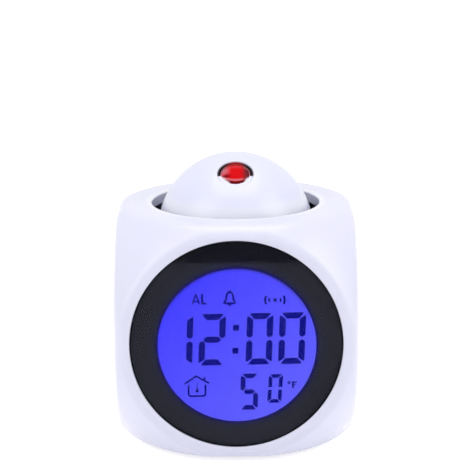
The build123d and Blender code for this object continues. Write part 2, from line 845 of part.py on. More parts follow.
# ---------------------------------------------------------------- cradle that carries the ball
with BuildPart() as head_cradle:
    with Locations((0, 0, ball_z)):
        Sphere(bowl_outer_r)
    with BuildSketch(level_at(bowl_rim_z)):
        Circle(2 * bowl_outer_r)
    extrude(amount=2 * bowl_outer_r, mode=Mode.SUBTRACT)
    with BuildSketch(level_at(flange_z)):
        Circle(flange_r)
    extrude(amount=flange_t)
    with BuildSketch(Plane.XZ) as rib_profile:
        with BuildLine():
            Polyline(
                (rib_foot_r, flange_z + 1),
                (flange_r - 0.5, flange_z + 1),
                (flange_r - 0.5, flange_z + flange_t + 1.5),
                (flange_r + 1.5, flange_z + rib_rise + 1),
                (flange_r - 0.5, flange_z + rib_rise + 1),
                close=True,
            )
        make_face()
    extrude(amount=rib_t / 2, both=True)
    for side in (-1, 1):
        with BuildSketch(Plane.YZ.offset(side * (bowl_inner_r - 3))):
            with Locations((0, ball_z)):
                Circle(ear_r)
            with Locations((0, ball_z - ear_depth / 2)):
                Rectangle(2 * ear_r, ear_depth)
        extrude(amount=side * (ear_outer_x - bowl_inner_r + 3))
    with Locations((0, 0, ball_z)):
        Sphere(bowl_inner_r, mode=Mode.SUBTRACT)
    with BuildSketch(Plane.YZ):
        with Locations((0, ball_z)):
            Circle(pivot_r + running_gap)
    extrude(amount=2 * ear_outer_x, both=True, mode=Mode.SUBTRACT)
    for side in (-1, 1):
        with BuildSketch(Plane.YZ.offset(side * ear_inner_x)):
            with Locations((0, ball_z)):
                Circle(pivot_pad_r + 0.3)
        extrude(amount=-side * 3, mode=Mode.SUBTRACT)
    with BuildSketch(level_at(flange_z)):
        with GridLocations(2 * guide_pin_x, 2 * guide_pin_y, 2, 2):
            Circle(guide_pin_r)
    extrude(amount=-(flange_z - carrier_z + bush_depth + 1.4))
    with BuildSketch(level_at(carrier_z - bush_depth - 0.1)):
        with GridLocations(2 * guide_pin_x, 2 * guide_pin_y, 2, 2):
            Circle(guide_pin_r + 0.6)
    extrude(amount=-1.3)
head_cradle.part.label = "head_cradle"
export_step(head_cradle.part, "parts/head_cradle.step")

with BuildPart() as spring_carrier:
    with BuildSketch(level_at(carrier_z)) as carrier_outline:
        Rectangle(carrier_width, carrier_depth)
        with Locations((0, shelf_y)):
            Rectangle(2 * (half - wall - 0.4), shelf_length - 1)
    extrude(amount=carrier_t)
    with BuildSketch(level_at(carrier_z)):
        with GridLocations(2 * guide_pin_x, 2 * guide_pin_y, 2, 2):
            Circle(bush_r)
    extrude(amount=-bush_depth)
    with BuildSketch(level_at(carrier_z)):
        with GridLocations(40, 1, 2, 1):
            Rectangle(rib_t, carrier_depth - 6)
        Rectangle(carrier_width - 4, rib_t)
    extrude(amount=-bush_depth)
    with BuildSketch(level_at(carrier_z - bush_depth)):
        with GridLocations(2 * guide_pin_x, 2 * guide_pin_y, 2, 2):
            Circle(guide_pin_r + running_gap)
        with Locations(*pillar_places):
            Circle(pilot_r + 0.35)
        with GridLocations(1, 24, 1, 2):
            SlotOverall(18, 6)
    extrude(amount=carrier_t + bush_depth, mode=Mode.SUBTRACT)
spring_carrier.part.label = "spring_carrier"
export_step(spring_carrier.part, "parts/spring_carrier.step")

with BuildPart() as carrier_screws:
    with BuildSketch(level_at(carrier_top)):
        with Locations(*pillar_places):
            Circle(carrier_head_r)
    extrude(amount=carrier_head_h)
    fillet(carrier_screws.edges().group_by(Axis.Z)[-1], radius=0.5)
    with BuildSketch(level_at(carrier_top)):
        with Locations(*pillar_places):
            Circle(pilot_r - running_gap)
    extrude(amount=-(carrier_t + carrier_screw_length - 1))
carrier_screws.part.label = "carrier_screws"
export_step(carrier_screws.part, "parts/carrier_screws.step")

# Each spring is a stack of bulges: the envelope of its coils, with the guide pin inside.
with BuildPart() as cradle_springs:
    coil_pitch = (flange_z - carrier_top - 2 * coil_overlap) / spring_coils
    with BuildSketch(Plane.XZ):
        for coil in range(spring_coils):
            with Locations((spring_r, carrier_top + coil_overlap + (coil + 0.5) * coil_pitch)):
                RegularPolygon(radius=coil_pitch / 2 + coil_overlap, side_count=4)
    revolve(axis=Axis.Z)
spring_form = cradle_springs.part

with BuildPart() as cradle_springs:
    with GridLocations(2 * guide_pin_x, 2 * guide_pin_y, 2, 2):
        add(spring_form)
cradle_springs.part.label = "cradle_springs"
export_step(cradle_springs.part, "parts/cradle_springs.step")

with BuildPart() as snooze_board:
    with BuildSketch(level_at(carrier_top)):
        RectangleRounded(snooze_board_size, snooze_board_size, 1)
    extrude(amount=snooze_board_t)
snooze_board.part.label = "snooze_board"
export_step(snooze_board.part, "parts/snooze_board.step")

with BuildPart() as snooze_dome:
    dome_foot_z = carrier_top + snooze_board_t
    with BuildSketch(Plane.XZ):
        with BuildLine():
            Polyline(
                (0, dome_foot_z + 1.2),
                (3.0, dome_foot_z + 1.2),
                (3.8, dome_foot_z),
                (5.4, dome_foot_z),
                (5.4, dome_foot_z + 0.5),
                (4.4, dome_foot_z + 0.7),
                (2.8, flange_z),
                (0, flange_z),
                close=True,
            )
        make_face()
    revolve(axis=Axis.Z)
snooze_dome.part.label = "snooze_dome"
export_step(snooze_dome.part, "parts/snooze_dome.step")

with BuildPart() as friction_washers:
    for side in (-1, 1):
        with BuildSketch(Plane.YZ.offset(side * (ear_inner_x - 0.05))):
            with Locations((0, ball_z)):
                Circle(pivot_pad_r - 0.2)
                Circle(pivot_r + running_gap, mode=Mode.SUBTRACT)
        extrude(amount=-side * washer_t)
friction_washers.part.label = "friction_washers"
export_step(friction_washers.part, "parts/friction_washers.step")

# ---------------------------------------------------------------- projector ball
with BuildPart() as ball_hollow:
    with Locations((0, 0, ball_z)):
        Sphere(ball_r)
    with BuildSketch(Plane.YZ.offset(-ball_r)):
        with Locations((0, ball_z)):
            Circle(pivot_pad_r)
    extrude(amount=2 * ball_r)
    with Locations((0, 0, ball_z)):
        Sphere(ball_inner_r, mode=Mode.SUBTRACT)


def ball_bosses(side):
    """Two bosses from the ball's seam to its wall, above (+1) or below (-1) the seam."""
    with BuildPart() as bosses:
        with BuildSketch(lens_axis):
            with GridLocations(1, 2 * ball_screw_y, 1, 2):
                Circle(ball_boss_r)
        extrude(amount=side * ball_r)
        with Locations((0, 0, ball_z)):
            Sphere(ball_inner_r + 0.5, mode=Mode.INTERSECT)
    return bosses.part


with BuildPart() as ball_front_shell:
    add(ball_hollow.part)
    split(bisect_by=lens_axis, keep=Keep.TOP)
    add(ball_bosses(1))
    with BuildSketch(lens_axis):
        with GridLocations(1, 2 * ball_screw_y, 1, 2):
            Circle(ball_screw_r)
    extrude(amount=ball_screw_length + ball_screw_seat_d + 1, mode=Mode.SUBTRACT)
    # lip that lines the two shells up
    with BuildSketch(lens_axis):
        Circle(ball_inner_r + ball_lip_t)
        Circle(ball_inner_r, mode=Mode.SUBTRACT)
    extrude(amount=-ball_lip_h)
    with BuildSketch(along_lens(lens_back_d - 2)):
        Circle(lens_hole_r)
    extrude(amount=ball_r, mode=Mode.SUBTRACT)
    lens_rim = ball_front_shell.edges().filter_by(GeomType.CIRCLE).filter_by(
        lambda edge: abs(edge.radius - lens_hole_r) < 0.01
    )
    fillet(lens_rim.sort_by(Axis(lens_axis.origin, lens_axis.z_dir))[-1], radius=0.35)
    with BuildSketch(Plane.YZ):
        with Locations((0, ball_z)):
            Circle(pivot_r + running_gap)
    extrude(amount=ball_r + 1, both=True, mode=Mode.SUBTRACT)
ball_front_shell.part.label = "ball_front_shell"
export_step(ball_front_shell.part, "parts/ball_front_shell.step")

# Posts in the rear shell that carry the projector's board.
with BuildPart() as board_posts:
    with BuildSketch(along_lens(projector_board_d)):
        with PolarLocations(board_post_ring_r, 3, start_angle=30):
            Circle(post_r)
    extrude(amount=-ball_r)
    with Locations((0, 0, ball_z)):
        Sphere(ball_inner_r + 0.5, mode=Mode.INTERSECT)

with BuildPart() as ball_rear_shell:
    add(ball_hollow.part)
    split(bisect_by=lens_axis, keep=Keep.BOTTOM)
    add(ball_bosses(-1))
    with BuildSketch(lens_axis):
        Circle(ball_inner_r + ball_lip_t + 0.1)
        Circle(ball_inner_r - 0.5, mode=Mode.SUBTRACT)
    extrude(amount=-ball_lip_h - 0.1, mode=Mode.SUBTRACT)
    for side in (-1, 1):
        with BuildSketch(Plane.YZ.offset(side * (ball_inner_r - 1))):
            with Locations((0, ball_z)):
                Circle(pivot_r)
        extrude(amount=side * (ear_outer_x - ball_inner_r + 1))
    with BuildSketch(Plane.YZ):
        with Locations((0, ball_z)):
            Circle(pivot_bore_r)
    extrude(amount=ear_outer_x + 1, both=True, mode=Mode.SUBTRACT)
    with BuildSketch(lens_axis):
        with GridLocations(1, 2 * ball_screw_y, 1, 2):
            Circle(ball_screw_r + 0.3)
    extrude(amount=-ball_r, mode=Mode.SUBTRACT)
    with BuildSketch(along_lens(ball_screw_seat_d)):
        with GridLocations(1, 2 * ball_screw_y, 1, 2):
            Circle(small_head_r + 0.2)
    extrude(amount=-ball_r, mode=Mode.SUBTRACT)
    add(board_posts.part)
ball_rear_shell.part.label = "ball_rear_shell"
export_step(ball_rear_shell.part, "parts/ball_rear_shell.step")

with BuildPart() as ball_screws:
    with BuildSketch(along_lens(ball_screw_seat_d)):
        with GridLocations(1, 2 * ball_screw_y, 1, 2):
            Circle(small_head_r)
    extrude(amount=-small_head_h)
    with BuildSketch(along_lens(ball_screw_seat_d)):
        with GridLocations(1, 2 * ball_screw_y, 1, 2):
            Circle(ball_screw_r - running_gap)
    extrude(amount=ball_screw_length)
ball_screws.part.label = "ball_screws"
export_step(ball_screws.part, "parts/ball_screws.step")


def lens_turning(points):
    """Ring or disc turned about the optical axis from (radius, distance) points."""
    profile_plane = Plane(origin=lens_axis.origin, x_dir=lens_axis.x_dir, z_dir=-lens_axis.y_dir)
    with BuildPart() as turning:
        with BuildSketch(profile_plane):
            with BuildLine():
                Polyline(*points, close=True)
            make_face()
        revolve(axis=Axis(lens_axis.origin, lens_axis.z_dir))
    return turning.part


# The dark well round the lens, held between the barrel and the ball's shell by its flange.
with BuildPart() as lens_funnel:
    add(
        lens_turning(
            [
                (funnel_r, funnel_rim_d),
                (funnel_r - funnel_wall, funnel_rim_d),
                (funnel_r - funnel_wall, lens_back_d + funnel_floor_t),
                (lens_ring_r + running_gap, lens_back_d + funnel_floor_t),
                (lens_ring_r + running_gap, lens_back_d),
                (funnel_flange_r, lens_back_d),
                (funnel_flange_r, lens_back_d + funnel_floor_t),
                (funnel_r, lens_back_d + funnel_floor_t + 0.2),
            ]
        )
    )
lens_funnel.part.label = "lens_funnel"
export_step(lens_funnel.part, "parts/lens_funnel.step")

with BuildPart() as lens_ring:
    with BuildSketch(along_lens(lens_back_d + running_gap)):
        Circle(lens_ring_r)
        Circle(lens_ring_r - lens_ring_t, mode=Mode.SUBTRACT)
    extrude(amount=lens_ring_d - lens_back_d - running_gap)
    fillet(lens_ring.edges().sort_by(Axis(lens_axis.origin, lens_axis.z_dir))[-2:], radius=0.15)
lens_ring.part.label = "lens_ring"
export_step(lens_ring.part, "parts/lens_ring.step")

lens_dome_r = (lens_r**2 + lens_rise**2) / (2 * lens_rise)
with BuildPart() as projection_lens:
    with BuildSketch(along_lens(lens_back_d + running_gap)):
        Circle(lens_r)
    extrude(amount=ball_r)
    with Locations(along_lens(lens_edge_d + lens_rise - lens_dome_r)):
        Sphere(lens_dome_r, mode=Mode.INTERSECT)
projection_lens.part.label = "projection_lens"
export_step(projection_lens.part, "parts/projection_lens.step")

# The barrel from the board to the lens, which sits on the narrow seat at its end.
with BuildPart() as lens_barrel:
    with BuildSketch(along_lens(projector_board_d + panel_t)):
        Circle(barrel_r)
    extrude(amount=lens_back_d - projector_board_d - panel_t - running_gap)
    with BuildSketch(along_lens(projector_board_d)):
        Circle(barrel_bore_r)
    extrude(amount=lens_back_d - lens_seat_t - projector_board_d, mode=Mode.SUBTRACT)
    with BuildSketch(along_lens(projector_board_d)):
        Circle(lens_clear_r)
    extrude(amount=ball_r, mode=Mode.SUBTRACT)
lens_barrel.part.label = "lens_barrel"
export_step(lens_barrel.part, "parts/lens_barrel.step")

with BuildPart() as condenser_lens:
    with BuildSketch(along_lens(condenser_d)):
        Circle(barrel_bore_r - running_gap)
    extrude(amount=condenser_t)
    with Locations(along_lens(condenser_d + condenser_t - condenser_curve_r)):
        Sphere(condenser_curve_r, mode=Mode.INTERSECT)
condenser_lens.part.label = "condenser_lens"
export_step(condenser_lens.part, "parts/condenser_lens.step")

with BuildPart() as projection_lcd:
    with BuildSketch(along_lens(projection_lcd_d)):
        Rectangle(projection_lcd_size, projection_lcd_size)
    extrude(amount=projection_lcd_t)
projection_lcd.part.label = "projection_lcd"
export_step(projection_lcd.part, "parts/projection_lcd.step")

with BuildPart() as projection_led:
    with BuildSketch(along_lens(projector_board_d + panel_t)):
        Circle(led_r + 0.4)
    extrude(amount=1)
    with BuildSketch(along_lens(projector_board_d + panel_t)):
        Circle(led_r)
    extrude(amount=led_length)
    with Locations(along_lens(projector_board_d + panel_t + led_length)):
        Sphere(led_r)
projection_led.part.label = "projection_led"
export_step(projection_led.part, "parts/projection_led.step")

with BuildPart() as projector_board:
    with BuildSketch(along_lens(projector_board_d)):
        Circle(projector_board_r)
    extrude(amount=panel_t)
projector_board.part.label = "projector_board"
export_step(projector_board.part, "parts/projector_board.step")
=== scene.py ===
"""Projection alarm clock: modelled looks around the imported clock.

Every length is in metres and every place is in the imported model's own frame: +Z up, display towards -Y,
origin on the table under the middle of the case.
"""

import itertools
import math

import bmesh
import bpy
import numpy as np
from mathutils import Matrix, Vector


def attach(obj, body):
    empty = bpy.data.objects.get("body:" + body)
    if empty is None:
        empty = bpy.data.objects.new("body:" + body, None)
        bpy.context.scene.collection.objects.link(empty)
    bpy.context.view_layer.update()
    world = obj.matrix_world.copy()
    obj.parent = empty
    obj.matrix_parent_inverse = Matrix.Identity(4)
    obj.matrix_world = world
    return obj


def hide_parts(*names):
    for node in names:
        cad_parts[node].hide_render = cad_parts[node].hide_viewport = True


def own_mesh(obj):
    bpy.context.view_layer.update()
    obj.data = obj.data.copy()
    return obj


bl_info = {
    "name": "Projection Alarm Clock",
    "version": (1, 0, 0),
    "blender": (4, 5, 0),
    "location": "View3D > Sidebar > Clock",
    "description": "Builds the moulded case, display, projector ball and finishes of an alarm clock",
    "category": "Add Mesh",
}

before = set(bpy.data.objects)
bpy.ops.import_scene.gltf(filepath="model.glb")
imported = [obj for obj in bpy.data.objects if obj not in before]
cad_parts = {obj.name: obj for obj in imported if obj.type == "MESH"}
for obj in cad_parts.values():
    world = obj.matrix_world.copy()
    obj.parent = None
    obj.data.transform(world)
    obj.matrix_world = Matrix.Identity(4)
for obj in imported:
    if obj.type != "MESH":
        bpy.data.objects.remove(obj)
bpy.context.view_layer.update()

MM = 0.001
ROUND = 384  # points round a large circle
FINE = 96  # points round a small one
TOUCH = 0.01 * MM  # what two pieces that meet leave free
PLAY = 0.05 * MM  # gap between a piece and the seat it drops into
LEDGE = 0.75 * MM  # width of the ledge round the battery tray that the door rests on
SHARP = math.radians(35)  # edges sharper than this stay sharp in smooth shading
KEYS = {"mode": -21.6, "alarm": -7.2, "down": 7.2, "up": 21.6}  # places from side to side, in millimetres


# ------------------------------------------------------------------ sizes and colours
def length(name, millimetres, description):
    """A length property with its default given in millimetres."""
    return bpy.props.FloatProperty(
        name=name, description=description, default=millimetres * MM, unit="LENGTH", subtype="DISTANCE"
    )


def colour(name, red, green, blue, description):
    """A colour property with its default given as an sRGB colour from 0 to 255."""
    values = [channel / 255 for channel in (red, green, blue)]
    linear = [v / 12.92 if v <= 0.04045 else ((v + 0.055) / 1.055) ** 2.4 for v in values]
    return bpy.props.FloatVectorProperty(
        name=name, description=description, default=linear, subtype="COLOR", size=3, min=0, max=1
    )


def number(name, value, description):
    """A plain factor."""
    return bpy.props.FloatProperty(name=name, description=description, default=value, subtype="FACTOR", min=0)


class CaseSizes(bpy.types.PropertyGroup):
    """Sizes of the moulded case."""

    width: length("Width", 80.0, "Width and depth of the case")
    height: length("Height", 79.0, "Height of the case without its feet")
    foot_height: length("Foot height", 1.5, "How far the feet stand out of the base")
    corner_sphere: length("Corner sphere", 55.1, "Radius of the sphere that trims the corners")
    edge_round: length("Edge round", 5.0, "Rolling-ball radius of every outer edge")
    wall: length("Wall", 2.2, "Wall thickness")
    seam_round: length("Seam round", 0.26, "Rounding of each half where the halves meet")
    opening: length("Top opening", 28.4, "Radius of the round opening for the projector ball")
    opening_lip: length("Opening lip", 0.6, "Rounding of the opening's rim")
    collar_depth: length("Collar depth", 3.5, "Depth of the opening's wall below the top")
    collar_wall: length("Collar wall", 1.6, "Thickness of the collar under the opening")
    screw_across: length("Screws across", 66.4, "Distance between the case screws from side to side")
    screw_up: length("Screws up", 36.0, "Distance between the case screws from bottom to top")
    screw_seat: length("Screw seat", 12.0, "Depth position of the screw heads behind the middle of the case")
    screw_bore: length("Screw bore", 1.6, "Radius of the hole for a screw's shank")
    screw_tunnel: length("Screw tunnel", 3.0, "Radius of the tunnel that leads to a screw's head")
    screw_boss: length("Screw boss", 4.2, "Outer radius of the tube round a screw")
    screw_length: length("Screw length", 20.0, "Length of a screw under its head")
    foot: length("Foot radius", 4.0, "Radius of a foot")
    foot_spacing: length("Foot spacing", 40.0, "Distance between the feet")


class FrontSizes(bpy.types.PropertyGroup):
    """Sizes of the round window and the display behind it."""

    window: length("Window radius", 34.75, "Outer radius of the window and its black ring")
    window_thickness: length("Window thickness", 1.3, "Thickness of the clear window")
    window_depth: length("Window depth", 0.1, "How far the window's face lies behind the case's face")
    window_lip: length("Window lip", 0.25, "Rounding of the recess round the window")
    mask_thickness: length("Mask thickness", 0.3, "Thickness of the black ring")
    view: length("View radius", 25.8, "Radius of the visible display")
    view_right: length("View right", 0.2, "How far the visible display lies to the right of the window's middle")
    view_drop: length("View drop", 0.4, "How far the visible display lies below the window's middle")
    ledge: length("Ledge", 1.1, "Thickness of the wall that carries the window")
    digit_height: length("Digit height", 17.4, "Height of the time's digits")
    digit_width: length("Digit width", 8.55, "Width of the time's digits")
    digit_stroke: length("Digit stroke", 2.03, "Thickness of the bars of the time's digits")


class BallSizes(bpy.types.PropertyGroup):
    """Sizes of the projector ball and its lens."""

    radius: length("Ball radius", 26.3, "Outer radius of the projector ball")
    wall: length("Ball wall", 1.8, "Wall thickness of the ball's shells")
    centre_height: length("Centre height", 70.7, "Height of the ball's centre above the table")
    lens_tilt: bpy.props.FloatProperty(
        name="Lens tilt",
        description="Tilt of the optical axis from vertical towards the display",
        default=math.radians(31.3),
        subtype="ANGLE",
    )
    lens_hole: length("Lens hole", 6.0, "Radius of the hole in the ball round the lens")
    hole_lip: length("Hole lip", 0.35, "Rounding of the lens hole's edge")
    lens: length("Lens radius", 4.6, "Radius of the lens")
    lens_edge: length("Lens edge", 25.0, "Distance of the lens's rim from the ball's centre")
    lens_back: length("Lens back", 22.0, "Distance of the lens's seat from the ball's centre")
    lens_rise: length("Lens rise", 1.0, "Height of the lens's dome")
    lens_flange: length("Lens flange", 0.65, "Width of the sloping flange round the lens's dome")
    ring: length("Ring radius", 4.95, "Outer radius of the ring that holds the lens")
    ring_wall: length("Ring wall", 0.3, "Thickness of the ring that holds the lens")
    ring_top: length("Ring top", 25.1, "Distance of the ring's top from the ball's centre")
    brim_start: length("Brim start", 0.76, "How far down from the lens's middle the ring has a brim")
    brim_height: length("Brim height", 0.45, "Height of the brim")
    well_wall: length("Well wall", 0.4, "Thickness of the dark well's wall")
    well_rim: length("Well rim", 25.2, "Distance of the dark well's rim from the ball's centre")
    well_floor: length("Well floor", 1.1, "Thickness of the dark well's floor")
    pivot_pad: length("Pivot pad", 4.8, "Radius of the flat pads at the pivots")
    axle: length("Axle", 3.0, "Radius of the stub axles")
    axle_bore: length("Axle bore", 1.6, "Radius of the bore through the axles")
    axle_reach: length("Axle reach", 30.6, "How far the axles reach to each side")


class BackSizes(bpy.types.PropertyGroup):
    """Sizes of the keys, the slide switch and the battery compartment at the back."""

    door_width: length("Door opening width", 51.0, "Width of the opening for the battery door")
    door_height: length("Door opening height", 34.0, "Height of the opening for the battery door")
    door_middle: length("Door middle", 34.0, "Height of the middle of the battery door above the table")
    door_thickness: length("Door thickness", 1.9, "Thickness of the battery door")
    door_corner: length("Door corner", 5.0, "Radius of the upper corners of the opening")
    door_gap: length("Door gap", 0.3, "Gap round the door")
    pocket_floor: length("Pocket floor", 26.3, "Depth position of the battery tray's floor")
    cell_radius: length("Cell radius", 5.25, "Radius of a cell")
    cell_length: length("Cell length", 44.5, "Length of a cell with its nub")
    cell_pitch: length("Cell pitch", 10.8, "Distance between the cells")
    key_width: length("Key width", 9.6, "Width of a key")
    key_height: length("Key height", 5.6, "Height of a key")
    key_middle: length("Key middle", 57.7, "Height of the row of keys above the table")
    key_proud: length("Key proud", 0.8, "How far the keys stand out")
    key_gap: length("Key gap", 0.25, "Gap round a key")
    knob_width: length("Knob width", 4.0, "Width of the slide switch's knob")
    knob_height: length("Knob height", 2.8, "Height of the slide switch's knob")
    knob_across: length("Knob across", -13.0, "Place of the knob from side to side")
    knob_up: length("Knob up", 69.0, "Height of the knob above the table")
    knob_travel: length("Knob travel", 4.0, "How far the knob slides")
    sound_hole: length("Sound hole", 0.75, "Radius of a sound hole")
    sound_ring: length("Sound ring", 3.2, "Radius of the ring of sound holes")
    sound_across: length("Sound across", 10.5, "Place of the sound holes from side to side")
    sound_up: length("Sound up", 68.0, "Height of the sound holes above the table")
    air_up: length("Air slots up", 10.5, "Height of the air slots above the table")
    latch: length("Latch", 13.0, "Width of the door's latch tongue")
    latch_slit: length("Latch slit", 1.0, "Width of the slits beside the latch tongue")
    latch_reach: length("Latch reach", 8.0, "Length of the slits beside the latch tongue")
    rib_across: length("Rib across", 13.0, "Distance of the door's ribs from its middle")


class Finishes(bpy.types.PropertyGroup):
    """Colours of the pieces."""

    case_white: colour("Case white", 230, 230, 250, "Glossy plastic of the case")
    ball_white: colour("Ball white", 228, 229, 250, "Glossy plastic of the projector ball")
    inner_white: colour("Inner white", 186, 186, 196, "Matt plastic inside the case")
    # Grey plastic, darkened further as painted shade in the moat round the ball.
    cradle_shade_grey: colour("Cradle grey", 150, 149, 160, "Matt plastic of the cradle under the ball")
    well_black: colour("Well black", 31, 18, 25, "Dark well round the lens")
    key_grey: colour("Key grey", 176, 178, 186, "Satin plastic of the keys")
    ring_black: colour("Ring black", 36, 37, 48, "Print round the display")
    # Painted reflection: the print's darker colour along its top.
    ring_top: colour("Ring top black", 7, 7, 20, "Print above the display")
    # Painted light and painted shade: the blue of the display's light on the print, of the shadow line at its inner
    # edge and of the shade along the display's top edge.
    edge_glow_and_shade: colour("Ring glow", 17, 15, 86, "Blue light at the print's inner edge")
    black_plastic: colour("Black plastic", 24, 24, 27, "Satin black plastic")
    lcd_blue: colour("Display blue", 91, 90, 247, "Lit display at its lower right")
    lcd_deep: colour("Display deep blue", 58, 53, 252, "Lit display at its upper left")
    lcd_dark: colour("Display dark", 5, 9, 129, "Dark bars of the display")
    lens_red: colour("Lens red", 224, 16, 20, "Lit projection lens")
    # Painted shade and painted highlight: the lens's dark red flanks and the pink highlights on the lens and its ring.
    lens_shade_red: colour("Lens dark red", 92, 10, 20, "Unlit side of the projection lens")
    lens_highlight_pink: colour("Lens pink", 206, 122, 136, "Light that the lens's flanks scatter")
    rubber: colour("Rubber", 42, 42, 44, "Rubber of the feet")


class StudioSettings(bpy.types.PropertyGroup):
    """Light, floor and camera."""

    world: number("World light", 0.36, "Strength of the even light from all round")
    left_light: number("Left softbox", 2.35, "Watts of the large softbox on the left")
    right_light: number("Right softbox", 2.3, "Watts of the softbox on the right")
    top_light: number("Top softbox", 3.4, "Watts of the overhead softbox")
    aim: length("Light aim", 45.0, "Height above the table that the softboxes are aimed at")
    floor: colour("Floor", 250, 250, 250, "Floor colour")
    floor_glow: number("Floor glow", 0.66, "Light that the floor adds, so that it shows white")
    camera_across: length("Camera across", -0.24, "Place of the camera from side to side")
    camera_away: length("Camera away", 650.4, "Distance of the camera in front of the clock's middle")
    camera_up: length("Camera up", 221.7, "Height of the camera above the table")
    camera_pitch: number("Camera pitch", 13.263, "Degrees by which the camera looks down")
    camera_roll: number("Camera roll", 0.33, "Degrees by which the camera is rolled")
    camera_lens: number("Camera lens", 150.02, "Focal length on a sensor 36 mm wide")


# ------------------------------------------------------------------ mesh tools
def soften(piece):
    """Smooth shading but for sharp edges."""
    piece.data.shade_smooth()
    piece.data.set_sharp_from_angle(angle=SHARP)
    return piece


def linked(name, mesh):
    """An object for a mesh, in the scene and smooth."""
    piece = bpy.data.objects.new(name, mesh)
    bpy.context.scene.collection.objects.link(piece)
    return soften(piece)


def solid(name, points, faces):
    """A closed piece from points and faces, with doubles merged and faces turned outwards."""
    mesh = bpy.data.meshes.new(name)
    mesh.from_pydata(np.asarray(points).reshape(-1, 3).tolist(), [], faces)
    shell = bmesh.new()
    shell.from_mesh(mesh)
    bmesh.ops.remove_doubles(shell, verts=shell.verts, dist=0.0005 * MM)
    bmesh.ops.recalc_face_normals(shell, faces=shell.faces)
    shell.to_mesh(mesh)
    shell.free()
    return linked(name, mesh)


def circle(count):
    """Cosines and sines once round a circle."""
    turn = 2 * math.pi * np.arange(count) / count
    return np.cos(turn), np.sin(turn)


def upright_circle(radius, y=0.0, count=ROUND):
    """Points round an upright circle about the Y axis."""
    across, up = circle(count)
    return np.stack([radius * across, np.full(count, y), radius * up], 1)


def rounding(radius, start=0, end=90, steps=5):
    """(inset, drop) pairs over a rounded edge, between two angles in degrees."""
    for turn in np.radians(np.linspace(start, end, steps)):
        yield radius * (1 - math.cos(turn)), radius * (1 - math.sin(turn))


def ring_faces(rings, count, loop):
    """Quads that join each ring of points to the next, and the last to the first in a loop."""
    faces = []
    for ring in range(rings if loop else rings - 1):
        low = ring * count
        high = (ring + 1) % rings * count
        for k in range(count):
            after = (k + 1) % count
            faces.append((low + k, low + after, high + after, high + k))
    return faces


def skinned(name, rings, loop=False):
    """A closed piece skinned over rings of points: a loop of rings, or a stack with both ends capped."""
    rings = np.asarray(rings)
    total, count = rings.shape[:2]
    faces = ring_faces(total, count, loop)
    if not loop:
        faces.append(tuple(range(count)))
        faces.append(tuple(range((total - 1) * count, total * count)))
    return solid(name, rings, faces)


def turned(name, profile, centre=(0, 0, 0), out=(0, 0, 1), count=FINE, loop=False):
    """A piece turned about an axis from (radius, distance) points: a loop, or an open line that ends on it."""
    out = np.array(out, float)
    across = np.array((1.0, 0, 0)) if abs(out[0]) < 0.9 else np.array((0, 1.0, 0))
    other = np.cross(out, across)
    cosines, sines = circle(count)
    round_way = cosines[:, None] * across + sines[:, None] * other
    rings = [np.array(centre) + distance * out + radius * round_way for radius, distance in profile]
    return solid(name, rings, ring_faces(len(rings), count, loop))


def stub(name, radius, foot, top, edge, centre, out, count=64):
    """A round pin along a direction, from its foot to its bevelled top."""
    profile = [(0, foot), (radius, foot), (radius, top - edge), (radius - edge, top), (0, top)]
    return turned(name, profile, centre, out, count)


def arc(centre, radius, start, end, steps):
    """Points along an arc in a plane, with its angles in degrees."""
    turn = np.radians(np.linspace(start, end, steps + 1))
    return [(centre[0] + radius * math.cos(t), centre[1] + radius * math.sin(t)) for t in turn]


def outline(width, height, top=0.0, bottom=None, grow=0.0, steps=12):
    """Rectangle round the origin with rounded upper and lower corners, grown evenly outwards."""
    bottom = top if bottom is None else bottom
    points = []
    for sx, sy, radius, start in ((1, 1, top, 0), (-1, 1, top, 90), (-1, -1, bottom, 180), (1, -1, bottom, 270)):
        centre = (sx * (width / 2 - radius), sy * (height / 2 - radius))
        points += arc(centre, max(radius + grow, 0.0), start, start + 90, steps)
    return np.array(points)


def upright(points, y, x=0.0, z=0.0):
    """Flat (across, up) points set upright at a depth, round a middle."""
    points = np.asarray(points)
    return np.stack([points[:, 0] + x, np.full(len(points), y), points[:, 1] + z], 1)


def stacked(name, layers, x=0.0, z=0.0):
    """A piece skinned over upright rounded rectangles: pairs of a depth position and what outline() takes."""
    return skinned(name, [upright(outline(*size), y, x, z) for y, size in layers])


def prism(name, size, start, end, x=0.0, z=0.0):
    """A straight piece with an upright rounded rectangle's section, between two depth positions."""
    return stacked(name, [(start, size), (end, size)], x, z)


def settle(piece):
    """Turn what the piece's modifiers make into its plain mesh."""
    graph = bpy.context.evaluated_depsgraph_get()
    made = bpy.data.meshes.new_from_object(piece.evaluated_get(graph))
    old = piece.data
    piece.modifiers.clear()
    piece.data = made
    bpy.data.meshes.remove(old)
    return piece


def discard(piece):
    """Remove a piece that only shaped another."""
    mesh = piece.data
    bpy.data.objects.remove(piece)
    bpy.data.meshes.remove(mesh)


def carve(piece, tool, operation="DIFFERENCE"):
    """Cut, join or intersect a piece with a tool, which is then removed."""
    before = (len(piece.data.vertices), len(piece.data.polygons))
    cut = piece.modifiers.new("cut", "BOOLEAN")
    cut.operation = operation
    cut.solver = "MANIFOLD"
    cut.object = tool
    settle(piece)
    after = (len(piece.data.vertices), len(piece.data.polygons))
    if after in (before, (0, 0)):
        raise RuntimeError(f"{tool.name} doesn't cut {piece.name}")
    discard(tool)
    return piece


def rounded(piece, width, segments):
    """Bevel a piece's sharp edges."""
    bevel = piece.modifiers.new("round", "BEVEL")
    bevel.width = width
    bevel.segments = segments
    bevel.limit_method = "ANGLE"
    bevel.angle_limit = SHARP
    return soften(settle(piece))


def place(piece, body, slot, material, *nodes):
    """Hand a finished piece to the frame: its body, its finish and the nodes it stands for. The slot is not used."""
    if material:
        piece.data.materials.clear()
        piece.data.materials.append(material)
    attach(piece, body)
    if nodes:
        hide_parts(*nodes)
    return piece


